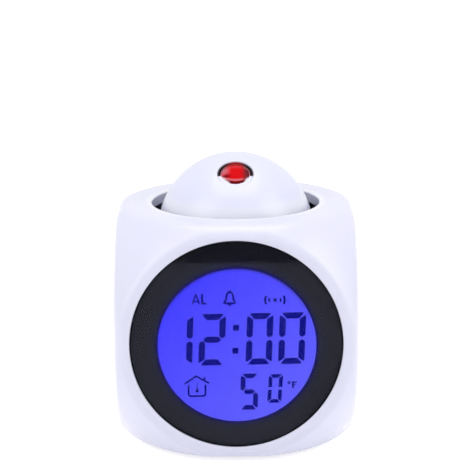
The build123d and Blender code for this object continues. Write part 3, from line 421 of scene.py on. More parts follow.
def joined(name, pieces):
    """One piece made of several."""
    shell = bmesh.new()
    for piece in pieces:
        shell.from_mesh(piece.data)
        discard(piece)
    mesh = bpy.data.meshes.new(name)
    shell.to_mesh(mesh)
    shell.free()
    return linked(name, mesh)


# ------------------------------------------------------------------ the exact form of the case
class CaseForm:
    """The case's surface: a box trimmed by a sphere, with a ball rolled over its edges."""

    def __init__(self, sizes):
        self.round = sizes.edge_round
        self.centre = np.array((0, 0, sizes.foot_height + sizes.height / 2))
        self.box = np.array((sizes.width, sizes.width, sizes.height)) / 2 - sizes.edge_round
        self.sphere = sizes.corner_sphere - sizes.edge_round

    def core_point(self, points):
        """The nearest point of the inner core, a box cut by a sphere, to each point."""
        size = np.abs(points)
        best = np.minimum(size, self.box)
        inside = np.linalg.norm(best, axis=1) <= self.sphere + 1e-9
        gap = np.where(inside, np.linalg.norm(size - best, axis=1), np.inf)

        def offer(candidate, valid):
            nonlocal best, gap
            distance = np.where(valid, np.linalg.norm(size - candidate, axis=1), np.inf)
            nearer = distance < gap
            best = np.where(nearer[:, None], candidate, best)
            gap = np.where(nearer, distance, gap)

        ball = size * (self.sphere / np.maximum(np.linalg.norm(size, axis=1), 1e-9))[:, None]
        offer(ball, (ball <= self.box + 1e-9).all(1))
        for i in range(3):
            j, k = (i + 1) % 3, (i + 2) % 3
            rim = math.sqrt(self.sphere**2 - self.box[i] ** 2)
            reach = np.maximum(np.hypot(size[:, j], size[:, k]), 1e-9)
            on_rim = np.zeros_like(size)
            on_rim[:, i] = self.box[i]
            on_rim[:, j] = size[:, j] * rim / reach
            on_rim[:, k] = size[:, k] * rim / reach
            offer(on_rim, (on_rim[:, j] <= self.box[j] + 1e-9) & (on_rim[:, k] <= self.box[k] + 1e-9))
            vertex = np.zeros_like(size)
            vertex[:, i] = self.box[i]
            vertex[:, j] = self.box[j]
            vertex[:, k] = math.sqrt(self.sphere**2 - self.box[i] ** 2 - self.box[j] ** 2)
            offer(vertex, np.ones(len(size), bool))
        return best * np.where(points < 0, -1.0, 1.0)

    def outward(self, points):
        """The outward direction at each point, and its distance from the core."""
        away = points - self.core_point(points)
        distance = np.linalg.norm(away, axis=1)
        return away / np.maximum(distance, 1e-9)[:, None], distance

    def hit(self, origins, directions, depth):
        """Where rays meet the surface that lies a depth under the outer skin."""
        origins, directions = np.broadcast_arrays(origins, np.asarray(directions, float))
        reach = np.full(len(origins), 2.0 * self.sphere)
        for _ in range(40):
            points = origins + reach[:, None] * directions
            away, distance = self.outward(points)
            slope = np.maximum((away * directions).sum(1), 0.05)
            reach -= (distance - (self.round - depth)) / slope
        return origins + reach[:, None] * directions

    def fan(self, angle, side, depth=0.0):
        """A ring of skin points seen from the case's middle at an angle in degrees from the front or back."""
        tilt = math.radians(angle)
        return self.hit((0.0, 0.0, 0.0), upright_circle(math.sin(tilt), side * math.cos(tilt)), depth)

    def belt(self, y, depth):
        """A ring of skin points round the case at one depth position."""
        return self.hit((0.0, y, 0.0), upright_circle(1.0), depth)

    def face_ring(self, radius, side, depth=0.0, sink=0.0):
        """A ring of a radius on the front or back of the skin, sunk straight in."""
        return self.hit(upright_circle(radius), (0.0, side, 0.0), depth) - (0, side * sink, 0)

    def shade(self, piece):
        """Smooth shading, with the skin's exact normals wherever a face lies on it."""
        mesh = soften(piece).data
        points = np.empty(3 * len(mesh.vertices))
        mesh.vertices.foreach_get("co", points)
        corners = np.empty(len(mesh.loops), int)
        mesh.loops.foreach_get("vertex_index", corners)
        sizes = np.empty(len(mesh.polygons), int)
        mesh.polygons.foreach_get("loop_total", sizes)
        faces = np.empty(3 * len(mesh.polygons))
        mesh.polygons.foreach_get("normal", faces)
        away, distance = self.outward(points.reshape(-1, 3) - self.centre)
        on_skin = np.abs(distance - self.round) < 0.002 * MM
        flat = np.repeat(faces.reshape(-1, 3), sizes, axis=0)
        facing = (away[corners] * flat).sum(1) > math.cos(math.radians(25))
        normals = np.where((on_skin[corners] & facing)[:, None], away[corners], 0.0)
        mesh.normals_split_custom_set(normals.tolist())
        return piece


# ------------------------------------------------------------------ node tools
def arithmetic(operation, swapped=False):
    """A method that adds a Math node of a socket and another value."""

    def method(self, other):
        return self.maths(operation, *((other, self) if swapped else (self, other)))

    return method


class Socket:
    """A node socket in a Python expression: arithmetic on it adds Math nodes to its tree."""

    def __init__(self, tree, end=None):
        self.tree = tree
        self.end = end

    def node(self, kind, settings=None, inputs=None, output=0):
        """Add any node: its settings first, then the values or links of its sockets. Gives one output."""
        made = self.tree.nodes.new(kind)
        for name, value in (settings or {}).items():
            setattr(made, name, value)
        for name, value in (inputs or {}).items():
            socket = made.inputs[name]
            if isinstance(value, Socket):
                self.tree.links.new(value.end, socket)
            elif socket.type == "RGBA":
                socket.default_value = (*value[:3], 1.0)
            else:
                socket.default_value = value
        return Socket(self.tree, made.outputs[output])

    def maths(self, operation, *values):
        """A Math node of these values."""
        return self.node("ShaderNodeMath", {"operation": operation}, dict(enumerate(values)))

    __add__ = arithmetic("ADD")
    __radd__ = arithmetic("ADD", swapped=True)
    __sub__ = arithmetic("SUBTRACT")
    __rsub__ = arithmetic("SUBTRACT", swapped=True)
    __mul__ = arithmetic("MULTIPLY")
    __rmul__ = arithmetic("MULTIPLY", swapped=True)
    __truediv__ = arithmetic("DIVIDE")
    __pow__ = arithmetic("POWER")

    def __abs__(self):
        return self.maths("ABSOLUTE", self)

    def near(self, value, reach):
        """1 where this has a value, and softly less down to 0 a reach away from it."""
        return 1 - abs(self - value).smooth(0, reach)

    def smooth(self, low, high):
        """0 below low, 1 above high and a soft step between."""
        settings = {"interpolation_type": "SMOOTHSTEP"}
        return self.node("ShaderNodeMapRange", settings, {"Value": self, "From Min": low, "From Max": high})

    def tint(self, first, second):
        """The first colour where this is 0, the second where it is 1."""
        return self.node("ShaderNodeMix", {"data_type": "RGBA"}, {0: self, 6: first, 7: second}, output=2)

    def axis(self, name):
        """One part of a vector, X, Y or Z."""
        return self.node("ShaderNodeSeparateXYZ", inputs={"Vector": self}, output="XYZ".index(name))

    def noise(self, size, detail=2.0, rough=0.5):
        """Soft noise round 0.5 on this vector, with features of a size in metres."""
        inputs = {"Vector": self, "Scale": 1 / size, "Detail": detail, "Roughness": rough}
        return self.node("ShaderNodeTexNoise", inputs=inputs)

    def bump(self, strength, depth):
        """The bumps that this height makes, up to a depth."""
        return self.node("ShaderNodeBump", inputs={"Strength": strength, "Distance": depth, "Height": self})


def reach_of(across, up):
    """The distance from the middle of a place with these two parts."""
    return (across * across + up * up) ** 0.5


# ------------------------------------------------------------------ finishes
def spot_in(tree):
    """The place on the object, which a tree's expressions start from."""
    return Socket(tree).node("ShaderNodeTexCoord", output="Object")


def shader_of(name, **constants):
    """A new material, its Principled shader with constants set, and the place on the object.

    An underscore in a constant's name stands for a space, here and in feed().
    """
    made = bpy.data.materials.new(name)
    made.use_nodes = True
    shader = made.node_tree.nodes["Principled BSDF"]
    for socket, value in constants.items():
        value = (*value, 1.0) if hasattr(value, "__len__") else value
        shader.inputs[socket.replace("_", " ")].default_value = value
    return made, shader, spot_in(made.node_tree)


def parts_of(made):
    """A finish's shader, the place on the object, and what gives the base colour so far."""
    shader = made.node_tree.nodes["Principled BSDF"]
    before = Socket(made.node_tree, shader.inputs["Base Color"].links[0].from_socket)
    return shader, spot_in(made.node_tree), before


def feed(shader, **links):
    """Link expressions to a shader's sockets."""
    for name, value in links.items():
        value.tree.links.new(value.end, shader.inputs[name.replace("_", " ")])


def shaded(tone, factor):
    """A colour made darker or lighter."""
    return tuple(min(channel * factor, 1.0) for channel in tone)


def plastic(name, tone, rough, texture=0.4, texture_size=0.9, drift=0.03, **constants):
    """Moulded plastic: a slow drift of tone, uneven gloss and a slight surface texture."""
    made, shader, spot = shader_of(name, **constants)
    slow = spot.noise(22 * MM, 3.0)
    fine = spot.noise(texture_size * MM, 3.0, 0.6)
    smear = spot.noise(6 * MM, 4.0, 0.65)
    feed(
        shader,
        Base_Color=slow.tint(shaded(tone, 1 - drift), shaded(tone, 1 + drift)),
        Roughness=rough * (0.86 + 0.2 * smear + 0.08 * fine),
        Normal=fine.bump(texture, 0.02 * MM),
    )
    return made


def metal(name, tone, rough, grain_size=0.25, spots=0.0):
    """Plated or rolled metal: brushed unevenness in the gloss, with dull spots where it is worn."""
    made, shader, spot = shader_of(name, Metallic=1.0)
    grain = spot.noise(grain_size * MM, 4.0, 0.7)
    worn = spot.noise(2.2 * MM, 5.0, 0.7).smooth(0.52, 0.7)
    feed(
        shader,
        Base_Color=(worn * spots).tint(tone, shaded(tone, 0.5)),
        Roughness=rough + 0.12 * grain + 0.25 * spots * worn,
        Normal=grain.bump(0.3, 0.01 * MM),
    )
    return made


def clear(name, tone, ior, rough=0.02, **constants):
    """Clear moulded plastic or glass with a faint haze."""
    made, shader, spot = shader_of(name, IOR=ior, Transmission_Weight=1.0, **constants)
    haze = spot.noise(9 * MM, 4.0, 0.6)
    feed(shader, Base_Color=haze.tint(shaded(tone, 0.985), tone), Roughness=rough * (0.5 + haze))
    return made


def painted_opening_light_and_shade(made, case, tone):
    """Paint light and shade into a white finish: a paler lip round the top opening as painted light, and a darker wall
    inside it as painted shade.
    """
    shader, spot, before = parts_of(made)
    across, along, up = (spot.axis(name) for name in "XYZ")
    reach = reach_of(across, along)
    top = case.foot_height + case.height
    beyond = reach.smooth(case.opening + 0.6 * MM, case.opening + 3 * MM)
    # Painted light: the lip round the opening made paler.
    lip = (up - top).smooth(-1.0 * MM, -0.3 * MM) * (1 - beyond)
    # Painted shade: the wall inside the opening made darker.
    below = top - up
    wall = below.smooth(0.35 * MM, 0.7 * MM) * (1 - below.smooth(case.collar_depth, case.collar_depth + MM))
    wall = wall * (1 - reach.smooth(case.opening, case.opening + 0.15 * MM))
    painted_lip_light = (lip * 0.45).tint(before, (1.0, 1.0, 1.0))
    feed(shader, Base_Color=wall.tint(painted_lip_light, shaded(tone, 0.72)))
    return made


def window_places(spot, front):
    """Across and up from the window's middle, and the distance from the visible display's middle."""
    across, up = spot.axis("X"), spot.axis("Z") - case_form().centre[2]
    return across, up, reach_of(across - front.view_right, up + front.view_drop)


def ring_print(front, colours):
    """Black print, darker round its outer edge and, as a painted reflection, along its top; along its inner edge a
    painted shadow line and painted blue light from the display.
    """
    made, shader, spot = shader_of("Black print", Specular_IOR_Level=0.0, Emission_Strength=1.0)
    across, up, reach = window_places(spot, front)
    away = reach - front.view
    # Painted shadow: a dark blue line along the visible display's edge.
    line = 1 - away.smooth(0.6 * MM, 1.05 * MM)
    # Painted light: the display's blue light, faint in the print near its edge.
    halo = 1 - away.smooth(0.5 * MM, 4 * MM)
    rim = reach_of(across, up).smooth(front.window - 0.8 * MM, front.window - 0.3 * MM)
    # Darker round the window's outer edge, and along the top as a painted reflection.
    crown = rim.maths("MAXIMUM", up.smooth(26.2 * MM, 28.4 * MM), rim)
    tone = crown.tint(tuple(colours.ring_black), tuple(colours.ring_top))
    faint = (halo * 0.12).tint((0, 0, 0), tuple(colours.edge_glow_and_shade))
    feed(
        shader,
        Base_Color=line.tint(tone, (0.002, 0.002, 0.004)),
        Emission_Color=line.tint(faint, tuple(colours.edge_glow_and_shade)),
        Roughness=0.55 + 0.1 * spot.noise(1.2 * MM, 3.0),
    )
    return made


def lit_display(front, colours):
    """The blue lit panel, lighter towards its lower right, with painted shadow along the upper part of its visible
    edge.
    """
    constants = {"Base_Color": (0.01, 0.01, 0.05), "Specular_IOR_Level": 0.0, "Emission_Strength": 1.0}
    made, shader, spot = shader_of("Lit display", **constants)
    across, up, reach = window_places(spot, front)
    slope = (across - up) / (2 * front.view)
    grain = spot.noise(0.35 * MM, 2.0)
    share = 0.42 + 0.7 * slope + 0.12 * spot.noise(14 * MM, 2.0) + 0.04 * grain
    # Painted shadow: the display darkened along the upper part of its visible edge.
    shade = reach.smooth(front.view - 1.5 * MM, front.view) * (up / front.view).smooth(0.2, 0.9)
    tone = share.tint(tuple(colours.lcd_deep), tuple(colours.lcd_blue))
    feed(
        shader,
        Emission_Color=(shade * 0.8).tint(tone, tuple(colours.edge_glow_and_shade)),
        Roughness=0.25 + 0.1 * grain,
    )
    return made


def dark_bars(colours):
    """The display's dark bars: deep blue, slightly uneven."""
    constants = {"Base_Color": (0.0, 0.0, 0.004), "Specular_IOR_Level": 0.0, "Emission_Strength": 1.0}
    made, shader, spot = shader_of("Display bars", **constants)
    cloud = spot.noise(5 * MM, 3.0)
    tone = tuple(colours.lcd_dark)
    feed(shader, Emission_Color=cloud.tint(shaded(tone, 0.93), shaded(tone, 1.07)), Roughness=0.3 + 0.1 * cloud)
    return made


def lens_places(spot, ball):
    """Across and down over the lens from its middle, in radii of the lens."""
    centre, out, down = lens_axes(ball)
    middle = centre + out * ball.lens_edge
    across = spot.axis("X") / ball.lens
    fall = ((spot.axis("Y") - middle[1]) * down[1] + (spot.axis("Z") - middle[2]) * down[2]) / ball.lens
    return across, fall


def red_lens(colours, ball):
    """The projection lens: clear red that glows in its middle, with painted highlights, a painted reflection and
    painted shade at its flanks.
    """
    made, shader, spot = shader_of("Red lens", IOR=1.5, Specular_IOR_Level=0.01, Emission_Strength=1.0)
    across, fall = lens_places(spot, ball)
    reach = reach_of(across, fall)
    cloud = spot.noise(1.6 * MM, 3.0)
    highlight = tuple(colours.lens_highlight_pink)
    dark = tuple(colours.lens_shade_red)
    # The lens's red glow, with a painted pink highlight towards its far edge.
    glow = (fall.near(-1.1, 0.8) * 0.3).tint(tuple(colours.lens_red), shaded(highlight, 0.8))
    # Painted shade: the right flank darker.
    flank_shade = tuple(0.8 * low + 0.1 * high for low, high in zip(dark, highlight))
    glow = across.smooth(0.3, 0.85).tint(glow, flank_shade)
    # Painted highlights: pink patches at the upper left and upper right.
    glow = (across.near(-0.85, 0.6) * fall.near(-0.35, 0.75)).tint(glow, highlight)
    glow = (across.near(0.8, 0.3) * fall.near(-0.75, 0.3)).tint(glow, shaded(highlight, 0.75))
    # Painted shade: a dark patch at the lower left.
    glow = (across.near(-0.7, 0.55) * fall.near(0.28, 0.29)).tint(glow, shaded(dark, 1.2))
    # Painted shade: a dark arc along the lower edge, with a painted pink highlight line just above it.
    bend = 0.68 - 0.45 * across * across
    glow = (fall - bend).smooth(0.04, 0.14).tint(glow, dark)
    glow = ((fall - bend).near(0.0, 0.13) * (1 - across.smooth(0.4, 0.7))).tint(glow, highlight)
    # Painted reflection: pale patches near the lower edge, left and right.
    rim_highlight = reach.smooth(0.82, 0.97) * abs(across - 0.12).smooth(0.42, 0.7) * fall.smooth(0.2, 0.5)
    glow = rim_highlight.tint(glow, (0.86, 0.8, 0.84))
    feed(
        shader,
        Base_Color=(reach.smooth(0.6, 1.0) * 0.5).tint((0.05, 0.0, 0.001), (0.01, 0.0, 0.0)),
        Emission_Color=(cloud * 0.12).tint(glow, dark),
        Roughness=0.05 + 0.04 * cloud,
    )
    return made


def ring_plastic(colours, ball):
    """White plastic of the ring that holds the lens, with the lens's red light and shade painted on its far half."""
    tone = tuple(colours.ball_white)
    made = plastic("Ring plastic", tone, 0.3, texture=0.1, drift=0.01)
    shader, spot, _ = parts_of(made)
    across, fall = lens_places(spot, ball)
    # Painted light and painted shade: the far half of the ring dark red and pink from the lens's light.
    flank = abs(across).smooth(0.3, 0.9)
    far_glow_and_shade = flank.tint(shaded(colours.lens_red, 0.6), shaded(colours.lens_highlight_pink, 0.55))
    feed(shader, Base_Color=(1 - fall.smooth(0.0, 0.35)).tint(tone, far_glow_and_shade))
    return made


def lit_round_lens(made, ball, red):
    """Add the lens's red light to a finish, on the part behind the lens."""
    shader, spot, _ = parts_of(made)
    across, fall = lens_places(spot, ball)
    behind = 1 - fall.smooth(-0.7, 0.2)
    feed(shader, Emission_Color=(across.near(0.0, 0.9) * behind).tint((0, 0, 0), red))
    shader.inputs["Emission Strength"].default_value = 1.0
    return made


def circuit_board():
    """Green lacquered board with copper tracks that show through and a rough cut edge."""
    made, shader, spot = shader_of("Circuit board", Coat_Weight=0.4, Coat_Roughness=0.15)
    brick = {"Vector": spot, "Scale": 1 / (5.5 * MM), "Mortar Size": 0.07, "Brick Width": 0.8, "Row Height": 0.35}
    tracks = spot.node("ShaderNodeTexBrick", inputs=brick, output="Fac")
    pads = spot.node("ShaderNodeTexVoronoi", inputs={"Vector": spot, "Scale": 1 / (3.2 * MM)}).smooth(0.22, 0.18)
    weave = spot.noise(0.3 * MM, 2.0)
    lacquer = (tracks * 0.8 + 0.2 * weave).tint((0.012, 0.11, 0.035), (0.03, 0.2, 0.07))
    feed(
        shader,
        Base_Color=pads.tint(lacquer, (0.75, 0.74, 0.7)),
        Metallic=pads * 0.9,
        Roughness=0.3 + 0.15 * weave,
        Normal=(tracks + pads).bump(0.5, 0.03 * MM),
    )
    return made


# ------------------------------------------------------------------ shared places
def sizes():
    """The property groups: case, front, ball, back and finishes."""
    scene = bpy.context.scene
    return scene.clock_case, scene.clock_front, scene.clock_ball, scene.clock_back, scene.clock_finish


def case_form():
    """The exact form of the case at its present sizes."""
    return CaseForm(bpy.context.scene.clock_case)


def lens_axes(ball):
    """The ball's centre, the optical axis out of the lens, and the way down over the ball's front."""
    centre = np.array((0, 0, ball.centre_height))
    out = np.array((0, -math.sin(ball.lens_tilt), math.cos(ball.lens_tilt)))
    down = np.array((0, -math.cos(ball.lens_tilt), -math.sin(ball.lens_tilt)))
    return centre, out, down


def front_depths(front, case):
    """Y of the window's face, the window's back, the ring's back and the carrying wall's back."""
    face = -case.width / 2 + front.window_depth
    window_back = face + front.window_thickness
    seat = window_back + front.mask_thickness
    return face, window_back, seat, seat + front.ledge


# ------------------------------------------------------------------ Geometry Nodes
def tree_of(name, inputs):
    """An empty tree with these inputs: a start for its nodes, and a socket for each input."""
    tree = bpy.data.node_groups.new(name, "GeometryNodeTree")
    tree.interface.new_socket("Geometry", in_out="OUTPUT", socket_type="NodeSocketGeometry")
    for label, kind in inputs.items():
        tree.interface.new_socket(label, in_out="INPUT", socket_type=f"NodeSocket{kind}")
    group = tree.nodes.new("NodeGroupInput")
    return Socket(tree), {label: Socket(tree, group.outputs[label]) for label in inputs}


def end_tree(shape, material):
    """Make a tree's shape real, give it its material and lead it out."""
    real = shape.node("GeometryNodeRealizeInstances", inputs={"Geometry": shape})
    painted = shape.node("GeometryNodeSetMaterial", inputs={"Geometry": real, "Material": material})
    shape.tree.links.new(painted.end, shape.tree.nodes.new("NodeGroupOutput").inputs["Geometry"])
    return shape.tree


def layout_tree(name, layout, extra):
    """A tree that sets a piece on the points of a layout."""
    start, named = tree_of(name, {"Piece": "Object", "Material": "Material"} | extra)
    points = layout(start, named)
    piece = start.node("GeometryNodeObjectInfo", inputs={"Object": named["Piece"]}, output="Geometry")
    copies = start.node("GeometryNodeInstanceOnPoints", inputs={"Points": points, "Instance": piece})
    return end_tree(copies, named["Material"])


def corner_layout(start, named):
    """Four points at the corners of a rectangle, turned and moved into place."""
    grid = {"Size X": named["Across"], "Size Y": named["Up"], "Vertices X": 2, "Vertices Y": 2}
    points = start.node("GeometryNodeMeshGrid", inputs=grid)
    moved = {"Geometry": points, "Rotation": named["Turn"], "Translation": named["Middle"]}
    return start.node("GeometryNodeTransform", inputs=moved)


def row_layout(start, named):
    """A row of points, evenly spaced round a middle."""
    half = (named["Count"] - 1.0) * -0.5
    first = start.node("ShaderNodeVectorMath", {"operation": "SCALE"}, {0: named["Step"], "Scale": half})
    first = start.node("ShaderNodeVectorMath", {"operation": "ADD"}, {0: first, 1: named["Middle"]})
    line = {"Count": named["Count"], "Start Location": first, "Offset": named["Step"]}
    return start.node("GeometryNodeMeshLine", inputs=line)


def ring_layout(start, named):
    """Points round an upright circle with one in its middle."""
    ring = start.node("GeometryNodeMeshCircle", inputs={"Vertices": named["Count"], "Radius": named["Radius"]})
    middle = start.node("GeometryNodeMeshLine", inputs={"Count": 1})
    both = start.node("GeometryNodeJoinGeometry", inputs={"Geometry": ring})
    start.tree.links.new(middle.end, both.end.node.inputs["Geometry"])
    moved = {"Geometry": both, "Rotation": (math.pi / 2, 0, 0), "Translation": named["Middle"]}
    return start.node("GeometryNodeTransform", inputs=moved)


LAYOUTS = {
    "corners": (corner_layout, {"Across": "Float", "Up": "Float", "Turn": "Vector", "Middle": "Vector"}),
    "row": (row_layout, {"Count": "Int", "Step": "Vector", "Middle": "Vector"}),
    "ring": (ring_layout, {"Count": "Int", "Radius": "Float", "Middle": "Vector"}),
}


def run_tree(name, tree, values):
    """A plain mesh object made by a tree with these values for its named inputs."""
    made = bpy.data.objects.new(name, bpy.data.meshes.new(name))
    bpy.context.scene.collection.objects.link(made)
    modifier = made.modifiers.new("nodes", "NODES")
    modifier.node_group = tree
    known = {item.name: item.identifier for item in tree.interface.items_tree if item.in_out == "INPUT"}
    for label, value in values.items():
        modifier[known[label]] = value
    return soften(settle(made))


def repeated(name, kind, piece, **values):
    """Copies of a piece, made real, on the points of a layout; the piece itself is removed."""
    layout, extra = LAYOUTS[kind]
    made = run_tree(name, layout_tree(f"{name} layout", layout, extra), {"Piece": piece} | values)
    discard(piece)
    return made


def coil_tree():
    """A tree that winds a tapering wire spring."""
    floats = dict.fromkeys(("Turns", "Foot radius", "Top radius", "Height", "Wire radius"), "Float")
    start, named = tree_of("Wire spring", floats | {"Turn": "Vector", "Foot": "Vector", "Material": "Material"})
    spiral = {
        "Resolution": 28,
        "Rotations": named["Turns"],
        "Start Radius": named["Foot radius"],
        "End Radius": named["Top radius"],
        "Height": named["Height"],
    }
    path = start.node("GeometryNodeCurveSpiral", inputs=spiral)
    wire = start.node("GeometryNodeCurvePrimitiveCircle", inputs={"Resolution": 12, "Radius": named["Wire radius"]})
    skin = start.node("GeometryNodeCurveToMesh", inputs={"Curve": path, "Profile Curve": wire, "Fill Caps": True})
    moved = {"Geometry": skin, "Rotation": named["Turn"], "Translation": named["Foot"]}
    return end_tree(start.node("GeometryNodeTransform", inputs=moved), named["Material"])


# ------------------------------------------------------------------ the case
def at_feet(name, piece, up=0.0):
    """Copies of a piece at the four feet."""
    spacing = bpy.context.scene.clock_case.foot_spacing
    return repeated(name, "corners", piece, Across=spacing, Up=spacing, Middle=(0, 0, up), Turn=(0, 0, 0))


def at_screws(name, piece, depth=0.0):
    """Copies of a piece at the four case screws."""
    case = bpy.context.scene.clock_case
    middle = (0, depth, case.foot_height + case.height / 2)
    values = {"Across": case.screw_across, "Up": case.screw_up, "Middle": middle, "Turn": (math.pi / 2, 0, 0)}
    return repeated(name, "corners", piece, **values)


def moulded_half(name, side):
    """One half of the case without its openings: -1 the front with its window seat, +1 the rear."""
    case, front, *_ = sizes()
    form = case_form()
    # Angles of the rings in degrees from the middle of the face, closer together where the face ends.
    outer = (*np.arange(42.0, 50.0, 0.4), *np.linspace(50.0, 89.0, 42))
    inner = (*np.linspace(88.0, 50.0, 28), *np.arange(49.0, 44.0, -0.7))
    skin = [form.fan(angle, side) for angle in outer]
    skin += [form.belt(side * (TOUCH + inset), drop) for inset, drop in rounding(case.seam_round, 90, 0)]
    skin.append(form.belt(side * TOUCH, case.wall))
    skin += [form.fan(angle, side, case.wall) for angle in inner]
    if side > 0:
        back = [form.face_ring(radius * MM, side) for radius in (30.0, 35.2)]
        floor = [form.face_ring(radius * MM, side, case.wall) for radius in (35.6, 30.0)]
        rings = back + skin + floor
    else:
        _, _, seat, ledge = front_depths(front, case)
        radius = front.window + front.window_depth
        hole = front.view + MM
        pad = front.window + 1.4 * MM
        rings = [upright_circle(hole, seat), upright_circle(radius, seat)]
        rings += [form.face_ring(radius + inset, side, sink=drop) for inset, drop in rounding(front.window_lip)]
        rings += [*skin, form.face_ring(pad, side, case.wall), upright_circle(pad, ledge), upright_circle(hole, ledge)]
    return skinned(name, np.array(rings) + form.centre, loop=side < 0)


def collar_half(side):
    """Half of the collar that lines the top opening."""
    case, *_ = sizes()
    top = case.foot_height + case.height
    low = top - case.collar_depth
    turn = np.linspace(0, math.pi, ROUND // 2) * side
    high = top - case.wall + 0.4 * MM
    inner, outer = case.opening - 0.4 * MM, case.opening + case.collar_wall
    section = [(inner, low), (outer, low), (outer, high), (inner, high)]
    rings = [[(r * math.cos(t), r * math.sin(t) + side * TOUCH, z) for r, z in section] for t in turn]
    return skinned("collar", rings)


def opening_cutter():
    """What the top opening takes away, with its rounded rim."""
    case, *_ = sizes()
    top = case.foot_height + case.height
    lip = case.opening_lip
    profile = [(0, top - 12 * MM), (case.opening, top - 12 * MM)]
    profile += arc((case.opening + lip, top - lip), lip, 180, 90, 8)
    profile += [(case.opening + lip + TOUCH, top + 5 * MM), (0, top + 5 * MM)]
    return turned("opening", profile, count=240)


def flared(name, size, y_out, y_in, flare, x=0.0, z=0.0):
    """A cutter through an upright wall, rounded outwards at the wall's outer face; size is what outline() takes."""
    layers = [(y_in, 0.0)]
    layers += [(y_out - drop, inset) for inset, drop in rounding(flare)]
    layers.append((y_out + 4 * MM, flare + TOUCH))
    return skinned(name, [upright(outline(*size, grow=grow), y, x, z) for y, grow in layers])


def opened_half(name, side):
    """One half of the case with the collar, the top opening and the seats for the feet."""
    case, *_ = sizes()
    shell = moulded_half(name, side)
    carve(shell, collar_half(side), "UNION")
    carve(shell, opening_cutter())
    radius, low, depth = case.foot + PLAY, -2 * MM, 0.8 * MM
    seat = turned("foot seat", [(0, low), (radius, low), (radius, depth), (0, depth)])
    return carve(shell, at_feet("foot seats", seat, case.foot_height))


def screw_tunnels():
    """The four stepped tunnels that lead to the case screws."""
    case, *_ = sizes()
    step, start, end = case.screw_seat, -1 * MM, 45 * MM
    profile = [(0, start), (case.screw_bore, start), (case.screw_bore, step)]
    profile += [(case.screw_tunnel, step), (case.screw_tunnel, end), (0, end)]
    return at_screws("screw tunnels", turned("screw tunnel", profile, out=(0, 1, 0), count=64))


def screw_bosses():
    """The four tubes that carry the screws between the seam and the rear wall, ended inside the wall."""
    case, *_ = sizes()
    form = case_form()
    side_wall = case.width / 2 - 1.2 * MM
    tubes = []
    for sx, sz in itertools.product((-1, 1), repeat=2):
        edge = upright_circle(case.screw_boss, count=64)
        edge += (sx * case.screw_across / 2, 0, sz * case.screw_up / 2)
        edge[:, 0] = np.clip(edge[:, 0], -side_wall, side_wall)
        ends = [edge + (0, TOUCH, 0), form.hit(edge, (0.0, 1.0, 0.0), 1.0 * MM)]
        tubes.append(skinned("screw boss", np.array(ends) + form.centre))
    return tubes


def build_rear():
    """The rear half of the case with its battery tray, keyholes, slots and holes."""
    case, _, _, back, _ = sizes()
    half = case.width / 2
    inner = half - case.wall
    shell = opened_half("rear_case_shell", 1)
    for tube in screw_bosses():
        carve(shell, tube, "UNION")

    width, height = back.door_width - 2 * LEDGE, back.door_height - 2 * LEDGE
    tray = (width + 3 * MM, height + 3 * MM, 2 * MM)
    carve(shell, prism("tray", tray, back.pocket_floor - 1.5 * MM, inner + 0.3 * MM, z=back.door_middle), "UNION")
    carve(shell, prism("cavity", (width, height, MM), back.pocket_floor, half + MM, z=back.door_middle))
    seat = half - back.door_thickness - 0.1 * MM
    door = (back.door_width, back.door_height, back.door_corner, 0.0)
    carve(shell, flared("door hole", door, half, seat, 0.2 * MM, z=back.door_middle))
    carve(shell, screw_tunnels())

    wall = (half, inner - MM)
    pill = back.key_height + 2 * back.key_gap
    keyhole = (back.key_width + 2 * back.key_gap, pill, pill / 2)
    for x in KEYS.values():
        carve(shell, flared("keyhole", keyhole, *wall, 0.2 * MM, x * MM, back.key_middle))
    slot = (back.knob_width + back.knob_travel + 0.5 * MM, back.knob_height + 0.5 * MM, 0.5 * MM)
    middle = back.knob_across + back.knob_travel / 2
    carve(shell, flared("knob slot", slot, *wall, 0.15 * MM, middle, back.knob_up))
    radius, middle = back.sound_hole, (back.sound_across, 0, back.sound_up)
    hole = flared("sound hole", (2 * radius, 2 * radius, radius), *wall, 0.12 * MM)
    carve(shell, repeated("sound holes", "ring", hole, Count=8, Radius=back.sound_ring, Middle=middle))
    slit = flared("air slot", (1.1 * MM, 5 * MM, 0.55 * MM), *wall, 0.12 * MM)
    carve(shell, repeated("air slots", "row", slit, Count=5, Step=(3 * MM, 0, 0), Middle=(0, 0, back.air_up)))
    return shell


class CLOCK_OT_case(bpy.types.Operator):
    """Mould the front and rear halves of the case"""

    bl_idname = "clock.case"
    bl_label = "Case"

    def execute(self, context):
        tone = tuple(context.scene.clock_finish.case_white)
        gloss = plastic("White gloss plastic", tone, 0.24, texture=0.12, drift=0.008)
        # Painted light on the opening's lip and painted shade on the wall inside it.
        painted_opening_light_and_shade(gloss, context.scene.clock_case, tone)
        for shell, node in ((opened_half("front_case_shell", -1), "front_case"), (build_rear(), "rear_case")):
            place(case_form().shade(shell), "case", "white_plastic", gloss, node)
        return {"FINISHED"}


class CLOCK_OT_feet(bpy.types.Operator):
    """Set the four rubber feet under the case"""

    bl_idname = "clock.feet"
    bl_label = "Feet"

    def execute(self, context):
        case = context.scene.clock_case
        radius, edge, dent = case.foot, 0.4 * MM, 0.12 * MM
        top = case.foot_height + 0.78 * MM
        profile = [(0, dent), (radius - 1.4 * MM, dent), (radius - 1.2 * MM, 0)]
        profile += arc((radius - edge, edge), edge, -90, 0, 5)
        profile += [(radius, top), (0, top)]
        rubber = plastic("Rubber", tuple(context.scene.clock_finish.rubber), 0.7, 0.8, 0.3, 0.06)
        feet = at_feet("feet", turned("foot", profile, count=64))
        place(feet, "case", "foot_rubber", rubber, "rubber_feet")
        return {"FINISHED"}


